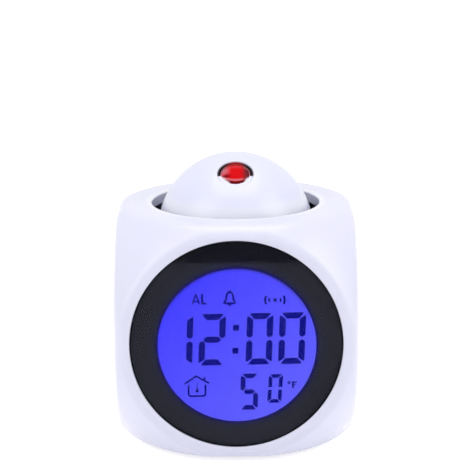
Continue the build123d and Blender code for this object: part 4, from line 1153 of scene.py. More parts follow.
class CLOCK_OT_case_screws(bpy.types.Operator):
    """Drive the four case screws into their tunnels"""

    bl_idname = "clock.case_screws"
    bl_label = "Case screws"

    def execute(self, context):
        case = context.scene.clock_case
        flat, top, crown = 1.9 * MM, 1.8 * MM, 0.7 * MM
        shank, end = 1.1 * MM, -case.screw_length
        profile = [(0, top), (flat, top)] + arc((flat, top - crown), crown, 90, 0, 5)
        profile += [(flat + crown, 0), (shank, 0), (shank, end + 1.4 * MM), (0, end)]
        screw = turned("screw", profile, count=48)
        for width, height in ((0.5, 2.6), (2.6, 0.5)):
            sides = outline(width * MM, height * MM)
            recess = [np.c_[sides * grow, np.full(len(sides), z * MM)] for grow, z in ((0.45, 0.8), (1.0, 2.2))]
            carve(screw, skinned("recess", recess))
        soften(screw).data.transform(Matrix.Rotation(-math.pi / 2, 4, "X"))
        zinc = metal("Zinc plated steel", (0.62, 0.61, 0.58), 0.28, 0.3, 0.3)
        place(at_screws("screws", screw, case.screw_seat), "case", "steel", zinc, "case_screws")
        return {"FINISHED"}


# ------------------------------------------------------------------ the display
TILT = 0.0134  # how much the digits climb to the right
BLUNT = 6  # degrees by which a bar's pointed end is cut back


def bar_outlines(width, height, stroke, corner, tip, point):
    """Outlines of a digit's seven bars from its lower left corner, named a to g clockwise from the top.

    The tip is the gap at the waist between the upper and lower side bars, and the point how far their ends slant.
    """
    far, near = 0.15 * stroke, 0.06 * stroke
    far_cut, near_cut = (math.degrees(math.asin(gap / (math.sqrt(2) * corner))) for gap in (far, near))
    middle = height / 2
    round_middle = (corner, height - corner)
    top_left = arc(round_middle, corner, 135 - far_cut - BLUNT, 90, 5)
    top = top_left + [(width - x, z) for x, z in reversed(top_left)]
    top += [(width - stroke - far, height - stroke), (stroke + far, height - stroke)]
    side = arc(round_middle, corner, 180, 135 + near_cut + 2 * BLUNT, 5)
    side += [(stroke, height - stroke - near), (stroke, middle + tip + point)]
    side += [(stroke / 2, middle + tip), (0, middle + tip + point)]
    start = 0.65 * stroke
    half = stroke / 2
    bar = [(start, middle), (start + half, middle + half), (width - start - half, middle + half)]
    bar += [(width - start, middle), (width - start - half, middle - half), (start + half, middle - half)]

    def flip(points, across, over):
        return [(width - x if across else x, height - z if over else z) for x, z in points]

    return {
        "a": top,
        "b": flip(side, True, False),
        "c": flip(side, True, True),
        "d": flip(top, False, True),
        "e": flip(side, False, True),
        "f": side,
        "g": bar,
    }


def digit(shown, left, middle, size, corner, waist, lean):
    """Outlines of the bars shown of a leaning digit, set by its left edge and the height of its middle."""
    outlines = bar_outlines(*size, corner, *waist)
    placed = []
    for name in shown:
        points = np.array(outlines[name])
        rise = points[:, 1] - size[1] / 2
        across = left + points[:, 0] + lean * rise
        placed.append(np.c_[across, middle + rise + TILT * across])
    return placed


def sector(x, z, inner, outer, start, end, steps=14):
    """Part of a flat ring."""
    return arc((x, z), outer, start, end, steps) + arc((x, z), inner, end, start, steps)


def block(left, right, low, high):
    """An upright rectangle."""
    return [(left, low), (right, low), (right, high), (left, high)]


def line(points, width):
    """An open line of a width through points, mitred at its bends."""
    points = np.array(points, float)
    ways = np.diff(points, axis=0)
    ways /= np.linalg.norm(ways, axis=1)[:, None]
    before = np.vstack([ways[:1], ways])
    after = np.vstack([ways, ways[-1:]])
    both = before + after
    mitre = np.c_[-both[:, 1], both[:, 0]] * width / 2 / (1 + (before * after).sum(1))[:, None]
    return np.vstack([points + mitre, (points - mitre)[::-1]])


def alarm_signs():
    """Letters, bell and sounder above the time."""
    left, right = [(-14.42, 13.22), (-13.94, 13.22)], [(-12.18, 13.22), (-11.7, 13.22)]
    marks = [
        [*left, (-13.06, 15.85), *right, (-12.83, 16.65), (-13.29, 16.65)],
        [(-13.68, 14.02), (-12.44, 14.02), (-12.57, 14.42), (-13.55, 14.42)],
        [(-11.37, 13.2), (-9.55, 13.2), (-9.55, 13.75), (-10.68, 13.75), (-10.68, 16.6), (-11.37, 16.6)],
    ]
    bell = [(-3.72, 13.86), (-3.72, 14.1), (-3.2, 14.8), (-3.12, 16.15)] + arc((-2.07, 16.15), 1.05, 180, 0, 12)[1:-1]
    bell += [(-1.02, 16.15), (-0.94, 14.8), (-0.42, 14.1), (-0.42, 13.86)]
    marks += [line(bell, 0.6), block(-4.2, -0.2, 13.25, 13.84)]
    marks += [arc((-2.15, 13.23), 0.6, 180, 360, 8), arc((-2.07, 17.6), 0.42, 0, 180, 8)]
    x, z = 12.57, 14.54
    marks.append(arc((x, z), 0.58, 0, 345, 16))
    for middle in (0, 180):
        marks.append(sector(x, z, 1.58, 2.12, middle - 20, middle + 20))
        marks.append(sector(x, z, 2.8, 3.5, middle - 25, middle + 25))
    return marks


def temperature_signs():
    """House with a thermometer, and the degree ring and letter of the scale."""
    walls = [(-15.71, -14.1)] + arc((-14.91, -17.1), 0.8, 180, 270, 6)
    walls += arc((-11.02, -17.1), 0.8, 270, 360, 6) + [(-10.22, -14.1)]
    bulb = arc((-12.94, -16.13), 0.55, 114, 426, 16)
    stem = [(-12.72, -15.2), (-12.85, -15.2), (-12.85, -13.3), (-13.03, -13.3), (-13.03, -15.2), (-13.16, -15.2)]
    letter = [(18.12, -15.37), (18.7, -15.37), (18.7, -14.41), (19.2, -14.41), (19.2, -13.99), (18.7, -13.99)]
    letter += [(18.7, -13.53), (19.67, -13.53), (19.67, -13.07), (18.12, -13.07)]
    return [
        line([(-16.98, -13.72), (-13.2, -11.12), (-8.95, -13.58)], 0.58),
        [(-10.73, -12.23), (-10.23, -12.52), (-10.23, -11.4), (-10.73, -11.4)],
        line(walls, 0.58),
        bulb + stem,
        sector(17.16, -13.47, 0.17, 0.5, 0, 352),
        letter,
    ]


def display_marks(front):
    """Every dark bar and sign of the display, as outlines in millimetres round the window's middle."""
    size = [value / MM for value in (front.digit_width, front.digit_height, front.digit_stroke)]
    one, two, five, zero = "bc", "abged", "afgcd", "abcdef"
    time = {"middle": 1.38, "size": size, "corner": 1.75, "waist": (0.34, 0.8), "lean": 0.037}
    tens = {"middle": -16.54, "size": (5.8, 12.3, 1.56), "corner": 1.2, "waist": (0.32, 0.6), "lean": 0.037}
    units = {"middle": -15.62, "size": (4.6, 9.7, 1.22), "corner": 1.0, "waist": (0.47, 0.0), "lean": 0.075}
    marks = []
    for shown, left in ((one, -22.72), (two, -12.15), (zero, 3.27), (zero, 13.87)):
        marks += digit(shown, left, **time)
    for x, z in ((-0.07, 5.28), (-0.33, -2.52)):
        marks.append(outline(1.95, 1.95, 0.3, steps=3) + (x, z))
    marks += digit(five, 1.24, **tens)
    marks += digit(zero, 10.31, **units)
    return marks + alarm_signs() + temperature_signs()


class CLOCK_OT_display(bpy.types.Operator):
    """Build the clear window, its black ring and the lit display with its bars"""

    bl_idname = "clock.display"
    bl_label = "Display"

    def execute(self, context):
        case, front, _, _, colours = sizes()
        centre = case_form().centre
        face, window_back, seat, ledge = (-depth for depth in front_depths(front, case))
        radius, edge = front.window, 0.25 * MM
        profile = [(0, face), (radius / 2, face), (radius - edge, face)]
        profile += arc((radius - edge, face - edge), edge, 90, 0, 5)
        profile += [(radius, window_back + TOUCH), (0, window_back + TOUCH)]
        window = turned("window", profile, centre, (0, -1, 0), ROUND)
        glass = clear("Clear window", (1.0, 1.0, 1.0), 1.4, 0.01, Specular_Tint=(0.1, 0.1, 0.1))
        place(window, "case", "clear_plastic", glass, "display_window")

        view, bevel = front.view, 0.06 * MM
        middle = (front.view_right, 0, -front.view_drop)
        ring = [
            upright_circle(view + bevel, -seat) + middle,
            upright_circle(radius, -seat),
            upright_circle(radius, -window_back),
            upright_circle(view + bevel, -window_back) + middle,
            upright_circle(view, bevel - window_back) + middle,
            upright_circle(view, -seat - bevel) + middle,
        ]
        mask = skinned("black_ring", np.array(ring) + centre, loop=True)
        place(mask, "case", "black_print", ring_print(front, colours), "window_mask")

        bars = []
        for points in display_marks(front):
            flat = np.array(points) * MM
            layers = [upright(flat, y - ledge, centre[0], centre[2]) for y in (0.01 * MM, 0.04 * MM)]
            bars.append(skinned("bar", layers))
        place(joined("display_bars", bars), "case", "lcd_dark", dark_bars(colours))
        dress("lcd_glass", lit_display(front, colours))
        return {"FINISHED"}


# ------------------------------------------------------------------ the projector ball
def half_ball(name, side):
    """One shell of the ball: +1 round the lens, -1 behind it."""
    _, _, ball, *_ = sizes()
    centre, out, _ = lens_axes(ball)
    radius, inner, hole, lip = ball.radius, ball.radius - ball.wall, ball.lens_hole, ball.hole_lip
    seam, steps = 0.2 * MM, 60
    start = math.degrees(math.asin(seam / radius))
    if side > 0:
        middle = (hole + lip, math.sqrt((radius - lip) ** 2 - (hole + lip) ** 2))
        end = math.degrees(math.atan2(middle[1], middle[0]))
        profile = arc((0, 0), inner, 0, math.degrees(math.acos(hole / inner)), steps)
        profile += arc(middle, lip, 180, end, 6)
        profile += arc((0, 0), radius, end, start, 90)[1:]
    else:
        profile = arc((0, 0), inner, 0, 90, steps)
        profile += arc((0, 0), radius, 90, start, 110)
    profile += arc((radius - seam, seam), seam, 0, -90, 4)[1:]
    profile = [(max(r, 0.0), side * max(d, TOUCH)) for r, d in profile]
    if side < 0:
        profile = profile[steps::-1] + profile[:steps:-1]
    return turned(name, profile, centre, out, 256, loop=side > 0)


def ball_block(ball, fall, height, side):
    """A block across the ball, between two places down its front and two distances along the optical axis."""
    centre, out, down = lens_axes(ball)
    corners = [(-side, fall[0]), (side, fall[0]), (side, fall[1]), (-side, fall[1])]
    return skinned("block", [[centre + (x, 0, 0) + down * f + out * h for x, f in corners] for h in height])


class CLOCK_OT_ball(bpy.types.Operator):
    """Build the two shells of the projector ball with pivot pads and axles"""

    bl_idname = "clock.ball"
    bl_label = "Projector ball"

    def execute(self, context):
        _, _, ball, _, colours = sizes()
        centre, *_ = lens_axes(ball)
        gloss = plastic("Ball gloss plastic", tuple(colours.ball_white), 0.24, texture=0.12, drift=0.008)
        # Painted light: the ball paler where it dips into the opening.
        self.painted_dip_light(gloss, context.scene.clock_case)
        foot, edge, reach = 23.6 * MM, 0.3 * MM, 40 * MM
        for name, side in (("ball_front", 1), ("ball_rear", -1)):
            shell = half_ball(name, side)
            tools = [self.pad(ball, side, end) for end in (-1, 1)]
            if side < 0:
                axle = ("axle", ball.axle, foot, ball.axle_reach, edge, centre)
                tools += [stub(*axle, (end, 0, 0)) for end in (-1, 1)]
            for tool in tools:
                carve(shell, tool, "UNION")
            radius = ball.axle + PLAY if side > 0 else ball.axle_bore
            bore = [(0, -reach), (radius, -reach), (radius, reach), (0, reach)]
            carve(shell, turned("bore", bore, centre, (1, 0, 0), 64))
            place(soften(shell), "projector", "white_plastic", gloss, f"{name}_shell")
        return {"FINISHED"}

    @staticmethod
    def painted_dip_light(made, case):
        """Paint the ball's white a little paler where it dips into the opening, as painted light against the shade
        there.
        """
        shader, spot, before = parts_of(made)
        up = spot.axis("Z") - (case.foot_height + case.height)
        # Painted light: paler low on the ball, near the opening.
        feed(shader, Base_Color=(0.6 * (1 - up.smooth(0.5 * MM, 5 * MM))).tint(before, (0.92, 0.93, 1.0)))

    @staticmethod
    def pad(ball, side, end):
        """Half of a flat pivot pad, on one side of the seam."""
        centre, *_ = lens_axes(ball)
        foot, edge, size = ball.radius - ball.wall + 0.5 * MM, 0.15 * MM, 40 * MM
        pad = stub("pad", ball.pivot_pad, foot, ball.radius, edge, centre, (end, 0, 0))
        return carve(pad, ball_block(ball, (-size, size), (side * 2 * TOUCH, side * size), size), "INTERSECT")


class CLOCK_OT_lens(bpy.types.Operator):
    """Turn the projection lens, the white ring that holds it and the dark well round them"""

    bl_idname = "clock.lens"
    bl_label = "Projection lens"

    def execute(self, context):
        _, _, ball, _, colours = sizes()
        place(self.lens(ball), "projector", "red_lens", red_lens(colours, ball), "projection_lens")
        place(self.holder(ball), "projector", "white_plastic", ring_plastic(colours, ball), "lens_ring")
        black = plastic("Well black", tuple(colours.well_black), 0.42, 0.3, 0.4, 0.08)
        lit_round_lens(black, ball, shaded(colours.lens_red, 0.4))
        place(self.well(ball), "projector", "black_plastic", black, "lens_funnel")
        return {"FINISHED"}

    @staticmethod
    def lens(ball):
        """The lens: a low dome on a sloping flange."""
        centre, out, _ = lens_axes(ball)
        radius, edge = ball.lens, ball.lens_edge
        dome, rise = radius - ball.lens_flange, 0.85 * ball.lens_rise
        curve = (dome**2 + rise**2) / (2 * rise)
        apex, back = edge + ball.lens_rise, ball.lens_back + PLAY
        profile = arc((0, apex - curve), curve, 90, 90 - math.degrees(math.asin(dome / curve)), 24)
        profile += [(dome + 0.05 * MM, apex - rise - 0.05 * MM), (radius - 0.1 * MM, edge - 0.1 * MM)]
        profile += [(radius, edge - 0.2 * MM), (radius, back), (0, back)]
        return turned("lens", profile, centre, out)

    @staticmethod
    def holder(ball):
        """The ring that holds the lens, with the brim that closes the well on the side towards the display."""
        centre, out, _ = lens_axes(ball)
        edge, back, top = 0.15 * MM, ball.lens_back + PLAY, ball.ring_top
        inner, outer = ball.ring - ball.ring_wall, ball.ring
        profile = [(inner, back), (outer, back)]
        profile += arc((outer - edge, top - edge), edge, 0, 90, 5)
        profile += arc((inner + edge, top - edge), edge, 90, 180, 5)
        ring = turned("lens_holder", profile, centre, out, loop=True)
        start, end = outer - 0.5 * ball.ring_wall, ball.lens_hole - 0.06 * MM
        low, high = top - ball.brim_height, top - 0.02 * MM
        profile = [(start, low), (end, low), (end, high - edge), (end - edge, high), (start, high)]
        brim = turned("brim", profile, centre, out, loop=True)
        size = 20 * MM
        carve(brim, ball_block(ball, (-size, ball.brim_start), (low - MM, ball.radius + MM), size))
        return soften(carve(ring, brim, "UNION"))

    @staticmethod
    def well(ball):
        """The dark well round the ring, its rim lowered under the brim."""
        centre, out, _ = lens_axes(ball)
        outer, bore, flange = ball.lens_hole - PLAY, ball.ring + PLAY, ball.lens_hole + 1.2 * MM
        mouth = outer - ball.well_wall
        rim, edge, floor = ball.well_rim, 0.1 * MM, ball.lens_back + ball.well_floor
        profile = [(outer, rim - edge), (outer - edge, rim), (mouth + edge, rim), (mouth, rim - edge), (mouth, floor)]
        profile += [(bore, floor), (bore, ball.lens_back), (flange, ball.lens_back), (flange, floor)]
        profile += [(outer, floor + 0.2 * MM)]
        well = turned("well", profile, centre, out, loop=True)
        size, low = 20 * MM, ball.ring_top - ball.brim_height - PLAY
        return soften(carve(well, ball_block(ball, (ball.brim_start, size), (low, ball.radius + MM), size)))


# ------------------------------------------------------------------ batteries, keys and knob
class CLOCK_OT_cells(bpy.types.Operator):
    """Lay the three cells in the tray"""

    bl_idname = "clock.cells"
    bl_label = "Battery cells"

    jacket_start, band_start, jacket_end = -21.9 * MM, 11.5 * MM, 21.2 * MM

    def execute(self, context):
        back = context.scene.clock_back
        jacket = plastic("Cell jacket", (0.045, 0.09, 0.15), 0.25, 0.1, 0.4, 0.05)
        band = plastic("Cell band", (0.55, 0.57, 0.6), 0.22, 0.1, 0.4, 0.05, Metallic=0.7)
        tin = metal("Tinned steel", (0.66, 0.65, 0.62), 0.25, 0.3, 0.15)
        depth = back.pocket_floor + back.cell_radius + PLAY
        for number, row in enumerate((-1, 0, 1), 1):
            way = -1 if row == 0 else 1
            centre = (0, depth, back.door_middle + row * back.cell_pitch)
            cell = turned(f"cell_{number}", self.profile(back), centre, (way, 0, 0))
            for material in (jacket, band, tin):
                cell.data.materials.append(material)
            for face in cell.data.polygons:
                along, *off = (face.center - Vector(centre)) * way
                jacketed = self.jacket_start <= along <= self.jacket_end
                bare = math.hypot(*off) < back.cell_radius - 0.35 * MM or not jacketed
                face.material_index = 2 if bare else int(along > self.band_start)
            place(cell, "case", "cell_jacket", None, f"battery_cell_{number}")
        return {"FINISHED"}

    def profile(self, back):
        """Half section of a cell along its axis, from its flat end to its nub."""
        radius, half = back.cell_radius, back.cell_length / 2
        shoulder, bend = half - 0.9 * MM, radius - 0.5 * MM
        line = [(0, -half + 0.25 * MM), (3.3 * MM, -half + 0.25 * MM), (3.5 * MM, -half), (radius - 0.9 * MM, -half)]
        line += arc((bend, -half + 0.5 * MM), 0.45 * MM, -90, 0, 5)
        line += [(radius, x) for x in (-half + 0.7 * MM, -18 * MM, 0, self.band_start, self.jacket_end)]
        line += arc((bend, shoulder - 0.5 * MM), 0.48 * MM, 0, 90, 5)
        line += [(3.6 * MM, shoulder), (3.3 * MM, shoulder - 0.3 * MM), (2.2 * MM, shoulder - 0.3 * MM)]
        line += [(1.95 * MM, shoulder - 0.05 * MM), (1.9 * MM, half - 0.25 * MM)]
        return line + arc((1.65 * MM, half - 0.25 * MM), 0.25 * MM, 0, 90, 4) + [(0, half)]


class CLOCK_OT_contacts(bpy.types.Operator):
    """Wind the contact springs and press the contact plates"""

    bl_idname = "clock.contacts"
    bl_label = "Contacts"

    def execute(self, context):
        back = context.scene.clock_back
        nickel = metal("Nickel plated steel", (0.66, 0.64, 0.58), 0.22, 0.4, 0.1)
        depth = back.pocket_floor + back.cell_radius + PLAY
        wall, foot = back.door_width / 2 - LEDGE, back.cell_length / 2 + 0.3 * MM
        tree = coil_tree()
        springs, plates = [], []
        for row in (-1, 0, 1):
            side = 1 if row == 0 else -1
            z = back.door_middle + row * back.cell_pitch
            ends = (side * (wall - 0.36 * MM), side * (wall - 0.04 * MM))
            springs.append(self.plate("spring plate", ends, depth, z, 0.08 * MM))
            values = {
                "Turns": 3.25,
                "Foot radius": 2.9 * MM,
                "Top radius": 1.9 * MM,
                "Height": 1.2 * MM,
                "Wire radius": 0.22 * MM,
                "Turn": (0, -side * math.pi / 2, 0),
                "Foot": (side * (wall - 0.58 * MM), depth, z),
                "Material": nickel,
            }
            springs.append(run_tree("coil", tree, values))
            plates.append(self.plate("plate", (-side * foot, -side * (foot + 0.4 * MM)), depth, z, 0.1 * MM))
        place(joined("contact_springs", springs), "case", "nickel_plate", nickel, "battery_contact_springs")
        place(joined("contact_plates", plates), "case", "nickel_plate", nickel, "battery_contact_plates")
        return {"FINISHED"}

    @staticmethod
    def plate(name, ends, depth, z, edge):
        """A plate across the tray's length, between two places from side to side."""
        flat = outline(7 * MM, 8.4 * MM, 0.6 * MM) + (depth, z)
        return rounded(skinned(name, [np.insert(flat, 0, x, axis=1) for x in ends]), edge, 2)


class CLOCK_OT_cradle_springs(bpy.types.Operator):
    """Wind the four springs under the cradle"""

    bl_idname = "clock.cradle_springs"
    bl_label = "Cradle springs"

    def execute(self, context):
        wire = metal("Spring wire", (0.56, 0.55, 0.53), 0.3, 0.3, 0.2)
        tree = coil_tree()
        pin_x, pin_y, foot, flange, travel = 18 * MM, 13 * MM, 36 * MM, 40.2 * MM, 1.2 * MM
        thick, coil = 0.32 * MM, 2.8 * MM
        coils = []
        for x, y in itertools.product((-pin_x, pin_x), (-pin_y, pin_y)):
            values = {
                "Turns": 3.5,
                "Foot radius": coil,
                "Top radius": coil,
                "Height": flange - foot - 2 * (thick + PLAY),
                "Wire radius": thick,
                "Foot": (x, y, foot + thick + PLAY),
                "Material": wire,
            }
            coils.append(run_tree("cradle coil", tree, values))
        springs = place(joined("cradle_coils", coils), "case", "steel", wire, "cradle_springs")
        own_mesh(springs)
        return {"FINISHED"}


class CLOCK_OT_battery_door(bpy.types.Operator):
    """Mould the battery door with its ridged latch and hinge pins"""

    bl_idname = "clock.battery_door"
    bl_label = "Battery door"

    def execute(self, context):
        case, _, _, back, colours = sizes()
        half, thick, middle = case.width / 2, back.door_thickness, back.door_middle
        width, height = back.door_width - 2 * back.door_gap, back.door_height - 2 * back.door_gap
        corner = back.door_corner - back.door_gap
        inner = half - thick
        line = [(0.1 * MM, inner), (0.0, inner + 0.1 * MM)]
        line += [(inset, half - drop) for inset, drop in rounding(0.25 * MM)]
        layers = [(y, (width - 2 * inset, height - 2 * inset, corner - inset, 0.0)) for inset, y in line]
        door = stacked("battery_door_panel", layers, z=middle)

        top = middle + height / 2
        grip = top - 4 * MM
        slit = (back.latch_slit, 2 * back.latch_reach, back.latch_slit / 2)
        for side in (-1, 1):
            x = side * (back.latch + back.latch_slit) / 2
            carve(door, flared("latch slot", slit, half, inner - MM, 0.12 * MM, x, top))
        dish = [
            (half - y * MM, ((11.4 + 2 * grow) * MM, (6.8 + 2 * grow) * MM, (1.2 + grow) * MM))
            for grow, y in ((-0.35, 0.6), (-0.1, 0.5), (0.1, 0.15), (0.25, -0.1))
        ]
        carve(door, stacked("finger dish", dish, z=grip))
        ridge = [
            (half - y * MM, ((9.8 - 2 * inset) * MM, (0.7 - 2 * inset) * MM, (0.3 - inset) * MM))
            for inset, y in ((0, 0.8), (0, 0.3), (0.06, 0.16), (0.2, 0.1))
        ]
        values = {"Count": 4, "Step": (0, 0, 1.5 * MM), "Middle": (0, 0, grip)}
        carve(door, repeated("ridges", "row", stacked("ridge", ridge), **values), "UNION")

        nose = (11 * MM, 1.2 * MM, 0.2 * MM)
        start = inner + 0.2 * MM
        carve(door, prism("latch nose", nose, start, inner - 1.2 * MM, z=top - 1.2 * MM), "UNION")
        rib, end = (1.2 * MM, 25 * MM, 0.2 * MM), back.pocket_floor + 2 * back.cell_radius + 0.2 * MM
        for x in (-back.rib_across, back.rib_across):
            carve(door, prism("rib", rib, start, end, x, middle), "UNION")
        hinge = (0, half - thick / 2, middle - height / 2 + thick / 2)
        pin = ("pin", 0.6 * MM, width / 2 - 2 * MM, width / 2 + 0.9 * MM, 0.15 * MM, hinge)
        for side in (-1, 1):
            carve(door, stub(*pin, (side, 0, 0), 32), "UNION")
        gloss = plastic("Door plastic", tuple(colours.case_white), 0.3, texture=0.2, drift=0.008)
        place(soften(door), "door", "white_plastic", gloss, "battery_door")
        return {"FINISHED"}


def key_cap(name, x):
    """A pill-shaped key with a rounded, slightly crowned face."""
    case, _, _, back, _ = sizes()
    half = case.width / 2
    inner, top = half - case.wall - 0.3 * MM, half + back.key_proud
    edge, flange = 0.6 * MM, MM
    side = top - 0.16 * MM
    line = [(-flange, inner - 0.9 * MM), (-flange, inner), (0, inner), (0, side - edge)]
    line += [(inset, side - drop) for inset, drop in rounding(edge, 15, 90, 6)]
    line += [(1.2 * MM, top - 0.07 * MM), (1.8 * MM, top - 0.02 * MM), (2.5 * MM, top)]
    width, height = back.key_width, back.key_height
    layers = [(y, (width - 2 * inset, height - 2 * inset, height / 2 - inset)) for inset, y in line]
    return stacked(name, layers, x, back.key_middle)


class CLOCK_OT_keys(bpy.types.Operator):
    """Mould the four keys and the slide switch's knob"""

    bl_idname = "clock.keys"
    bl_label = "Keys and knob"

    def execute(self, context):
        case, _, _, back, colours = sizes()
        grey = plastic("Key plastic", tuple(colours.key_grey), 0.42, 0.35, 0.35, 0.02)
        for key, x in KEYS.items():
            place(key_cap(f"{key}_cap", x * MM), f"{key}_button", "grey_key_plastic", grey, f"{key}_key")
        seat, foot = case.width / 2 + back.key_proud, 34.8 * MM
        width, height = back.knob_width, back.knob_height
        line = ((0.0, foot), (0.0, seat - 0.3 * MM), (0.1 * MM, seat - 0.1 * MM), (0.3 * MM, seat))
        layers = [(y, (width - 2 * inset, height - 2 * inset, 0.5 * MM - inset)) for inset, y in line]
        knob = stacked("knob", layers, back.knob_across, back.knob_up)
        groove = [(seat - y * MM, (wide * MM, 6 * MM)) for wide, y in ((0.2, 0.35), (0.45, 0.1), (0.75, -0.2))]
        values = {"Count": 3, "Step": (1.2 * MM, 0, 0), "Middle": (back.knob_across, 0, back.knob_up)}
        carve(knob, repeated("grooves", "row", stacked("groove", groove), **values))
        black = plastic("Knob black", tuple(colours.black_plastic), 0.45, 0.4, 0.3, 0.06)
        place(soften(knob), "projection_switch", "black_plastic", black, "projection_switch_knob")
        return {"FINISHED"}


# ------------------------------------------------------------------ inner parts, which keep their own solids
def dress(node, material):
    """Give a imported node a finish."""
    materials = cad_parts[node].data.materials
    for index in range(len(materials)):
        materials[index] = material
    if not materials:
        materials.append(material)


class CLOCK_OT_inner_parts(bpy.types.Operator):
    """Finish the boards, lamps, cradle and other inner parts"""

    bl_idname = "clock.inner_parts"
    bl_label = "Inner parts"

    def execute(self, context):
        colours = context.scene.clock_finish
        black = plastic("Black resin", (0.012, 0.012, 0.014), 0.4, 0.5, 0.3, 0.1)
        plungers = " ".join(f"{key}_plunger" for key in KEYS)
        finishes = {
            plastic("Inner plastic", tuple(colours.inner_white), 0.5, 0.4, 0.5): "lcd_frame spring_carrier",
            # The cradle's grey is darkened further as painted shade in the moat round the ball.
            plastic("Cradle plastic", tuple(colours.cradle_shade_grey), 0.5, 0.4, 0.5): "head_cradle",
            plastic("Grey plastic", (0.25, 0.25, 0.27), 0.5, 0.4, 0.5, 0.05): f"{plungers} friction_washers",
            black: "controller_chip projection_switch_base buzzer tact_switches lens_barrel thermistor",
            plastic("Dark rubber", (0.02, 0.02, 0.022), 0.75, 0.8, 0.3, 0.1): "zebra_strips snooze_dome",
            plastic("Light guide", (0.75, 0.77, 0.8), 0.15, 0.2, 0.6): "light_guide",
            plastic("Lamp body", (0.8, 0.78, 0.7), 0.4, 0.3, 0.4): "backlight_leds",
            metal("Screw steel", (0.56, 0.55, 0.53), 0.3, 0.3, 0.2): "board_screws button_board_screws "
            "carrier_screws ball_screws",
            metal("Bright metal", (0.75, 0.75, 0.76), 0.18, 0.4, 0.05): "clock_crystal board_capacitors",
            circuit_board(): "main_board button_board snooze_board projector_board",
            plastic("Red lamp", (0.7, 0.02, 0.02), 0.1, 0.1, 0.5): "projection_led",
            clear("Clear glass", (0.98, 0.99, 1.0), 1.5, 0.01): "condenser_lens",
            clear("Projection display", (0.25, 0.25, 0.3), 1.5, 0.05): "projection_lcd",
        }
        for material, nodes in finishes.items():
            for node in nodes.split():
                dress(node, material)
        return {"FINISHED"}


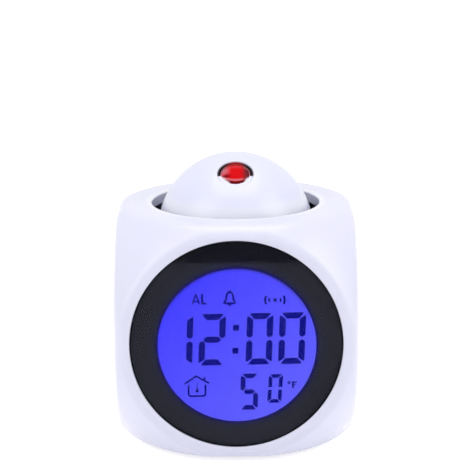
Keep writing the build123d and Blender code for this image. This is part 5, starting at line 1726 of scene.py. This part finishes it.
# ------------------------------------------------------------------ studio
class CLOCK_OT_studio(bpy.types.Operator):
    """Set the floor, the softboxes, the even light and the camera"""

    bl_idname = "clock.studio"
    bl_label = "Studio"

    def execute(self, context):
        studio = context.scene.clock_studio
        self.floor(studio)
        self.world(context.scene, studio)
        for name, place_of, size, watts in (
            ("Left softbox", (-0.62, -0.42, 0.42), (0.55, 0.75), studio.left_light),
            ("Right softbox", (0.7, -0.25, 0.35), (0.5, 0.7), studio.right_light),
            ("Top softbox", (0.0, -0.05, 0.85), (0.8, 0.7), studio.top_light),
        ):
            self.softbox(name, Vector(place_of), Vector((0, 0, studio.aim)), size, watts)
        self.camera(context.scene, studio)
        context.scene.view_settings.view_transform = "Standard"
        return {"FINISHED"}

    @staticmethod
    def seen(start):
        """1 for camera, glossy and transmission rays."""
        path = start.node("ShaderNodeLightPath", output="Is Camera Ray")
        outputs = path.end.node.outputs
        glossy = Socket(start.tree, outputs["Is Glossy Ray"])
        through = Socket(start.tree, outputs["Is Transmission Ray"])
        return path.maths("MAXIMUM", path, path.maths("MAXIMUM", glossy, through))

    def floor(self, studio):
        """A wide pale floor that shows white and keeps the clock's shadow."""
        corners = [(-4.0, -4.0, 0), (4.0, -4.0, 0), (4.0, 4.0, 0), (-4.0, 4.0, 0)]
        mesh = bpy.data.meshes.new("floor")
        mesh.from_pydata(corners, [], [(0, 1, 2, 3)])
        floor = linked("floor", mesh)
        made, shader, spot = shader_of("Floor", Roughness=0.9, Specular_IOR_Level=0.0)
        grain = spot.noise(0.05, 2.0)
        feed(shader, Base_Color=grain.tint(shaded(studio.floor, 0.99), tuple(studio.floor)))
        strength = self.seen(spot) * studio.floor_glow
        glow = spot.node("ShaderNodeEmission", inputs={"Color": (1.0, 1.0, 1.0), "Strength": strength})
        both = spot.node("ShaderNodeAddShader", inputs={0: Socket(spot.tree, shader.outputs[0]), 1: glow})
        spot.tree.links.new(both.end, spot.tree.nodes["Material Output"].inputs["Surface"])
        mesh.materials.append(made)

    def world(self, scene, studio):
        """Even light, seen as plain white."""
        world = scene.world or bpy.data.worlds.new("World")
        scene.world = world
        world.use_nodes = True
        tree = world.node_tree
        tree.nodes.clear()
        start = Socket(tree)
        seen = self.seen(start)
        strength = seen * (1 - studio.world) + studio.world
        light = start.node("ShaderNodeBackground", inputs={"Color": (1.0, 1.0, 1.0), "Strength": strength})
        tree.links.new(light.end, tree.nodes.new("ShaderNodeOutputWorld").inputs["Surface"])

    @staticmethod
    def softbox(name, spot, target, size, watts):
        """A rectangular softbox aimed at the clock."""
        lamp = bpy.data.lights.new(name, "AREA")
        lamp.shape = "RECTANGLE"
        lamp.size, lamp.size_y = size
        lamp.energy = watts
        made = bpy.data.objects.new(name, lamp)
        made.location = spot
        made.rotation_euler = (target - spot).to_track_quat("-Z", "Y").to_euler()
        bpy.context.scene.collection.objects.link(made)

    @staticmethod
    def camera(scene, studio):
        """A long lens in front, looking slightly down."""
        lens = bpy.data.cameras.new("Camera")
        lens.sensor_width = 36.0
        lens.lens = studio.camera_lens
        lens.clip_start = 0.01
        camera = bpy.data.objects.new("Camera", lens)
        pitch = Matrix.Rotation(math.radians(90 - studio.camera_pitch), 3, "X")
        roll = Matrix.Rotation(math.radians(-studio.camera_roll), 3, "Z")
        camera.location = (studio.camera_across, -studio.camera_away, studio.camera_up)
        camera.rotation_euler = (pitch @ roll).to_euler()
        scene.collection.objects.link(camera)
        scene.camera = camera


# ------------------------------------------------------------------ panel and registration
class CLOCK_PT_panel(bpy.types.Panel):
    """Sizes, colours and pieces of the clock"""

    bl_label = "Projection alarm clock"
    bl_idname = "CLOCK_PT_panel"
    bl_space_type = "VIEW_3D"
    bl_region_type = "UI"
    bl_category = "Clock"

    def draw(self, context):
        for label, attribute, group in GROUPS:
            box = self.layout.box()
            box.label(text=label)
            for item in group.__annotations__:
                box.prop(getattr(context.scene, attribute), item)
        for operator in OPERATORS:
            self.layout.operator(operator.bl_idname)


GROUPS = (
    ("Case", "clock_case", CaseSizes),
    ("Display", "clock_front", FrontSizes),
    ("Projector ball", "clock_ball", BallSizes),
    ("Back", "clock_back", BackSizes),
    ("Colours", "clock_finish", Finishes),
    ("Studio", "clock_studio", StudioSettings),
)
OPERATORS = (
    CLOCK_OT_case,
    CLOCK_OT_feet,
    CLOCK_OT_case_screws,
    CLOCK_OT_display,
    CLOCK_OT_ball,
    CLOCK_OT_lens,
    CLOCK_OT_cells,
    CLOCK_OT_contacts,
    CLOCK_OT_cradle_springs,
    CLOCK_OT_battery_door,
    CLOCK_OT_keys,
    CLOCK_OT_inner_parts,
    CLOCK_OT_studio,
)


def register():
    """Add the classes and the property groups to Blender."""
    for _, attribute, group in GROUPS:
        bpy.utils.register_class(group)
        setattr(bpy.types.Scene, attribute, bpy.props.PointerProperty(type=group))
    for operator in OPERATORS:
        bpy.utils.register_class(operator)
    bpy.utils.register_class(CLOCK_PT_panel)


def unregister():
    """Take the classes and the property groups out again."""
    bpy.utils.unregister_class(CLOCK_PT_panel)
    for operator in reversed(OPERATORS):
        bpy.utils.unregister_class(operator)
    for _, attribute, group in reversed(GROUPS):
        delattr(bpy.types.Scene, attribute)
        bpy.utils.unregister_class(group)


def main():
    """Build the whole clock."""
    register()
    for operator in OPERATORS:
        family, name = operator.bl_idname.split(".")
        getattr(getattr(bpy.ops, family), name)()


if __name__ == "__main__":
    main()
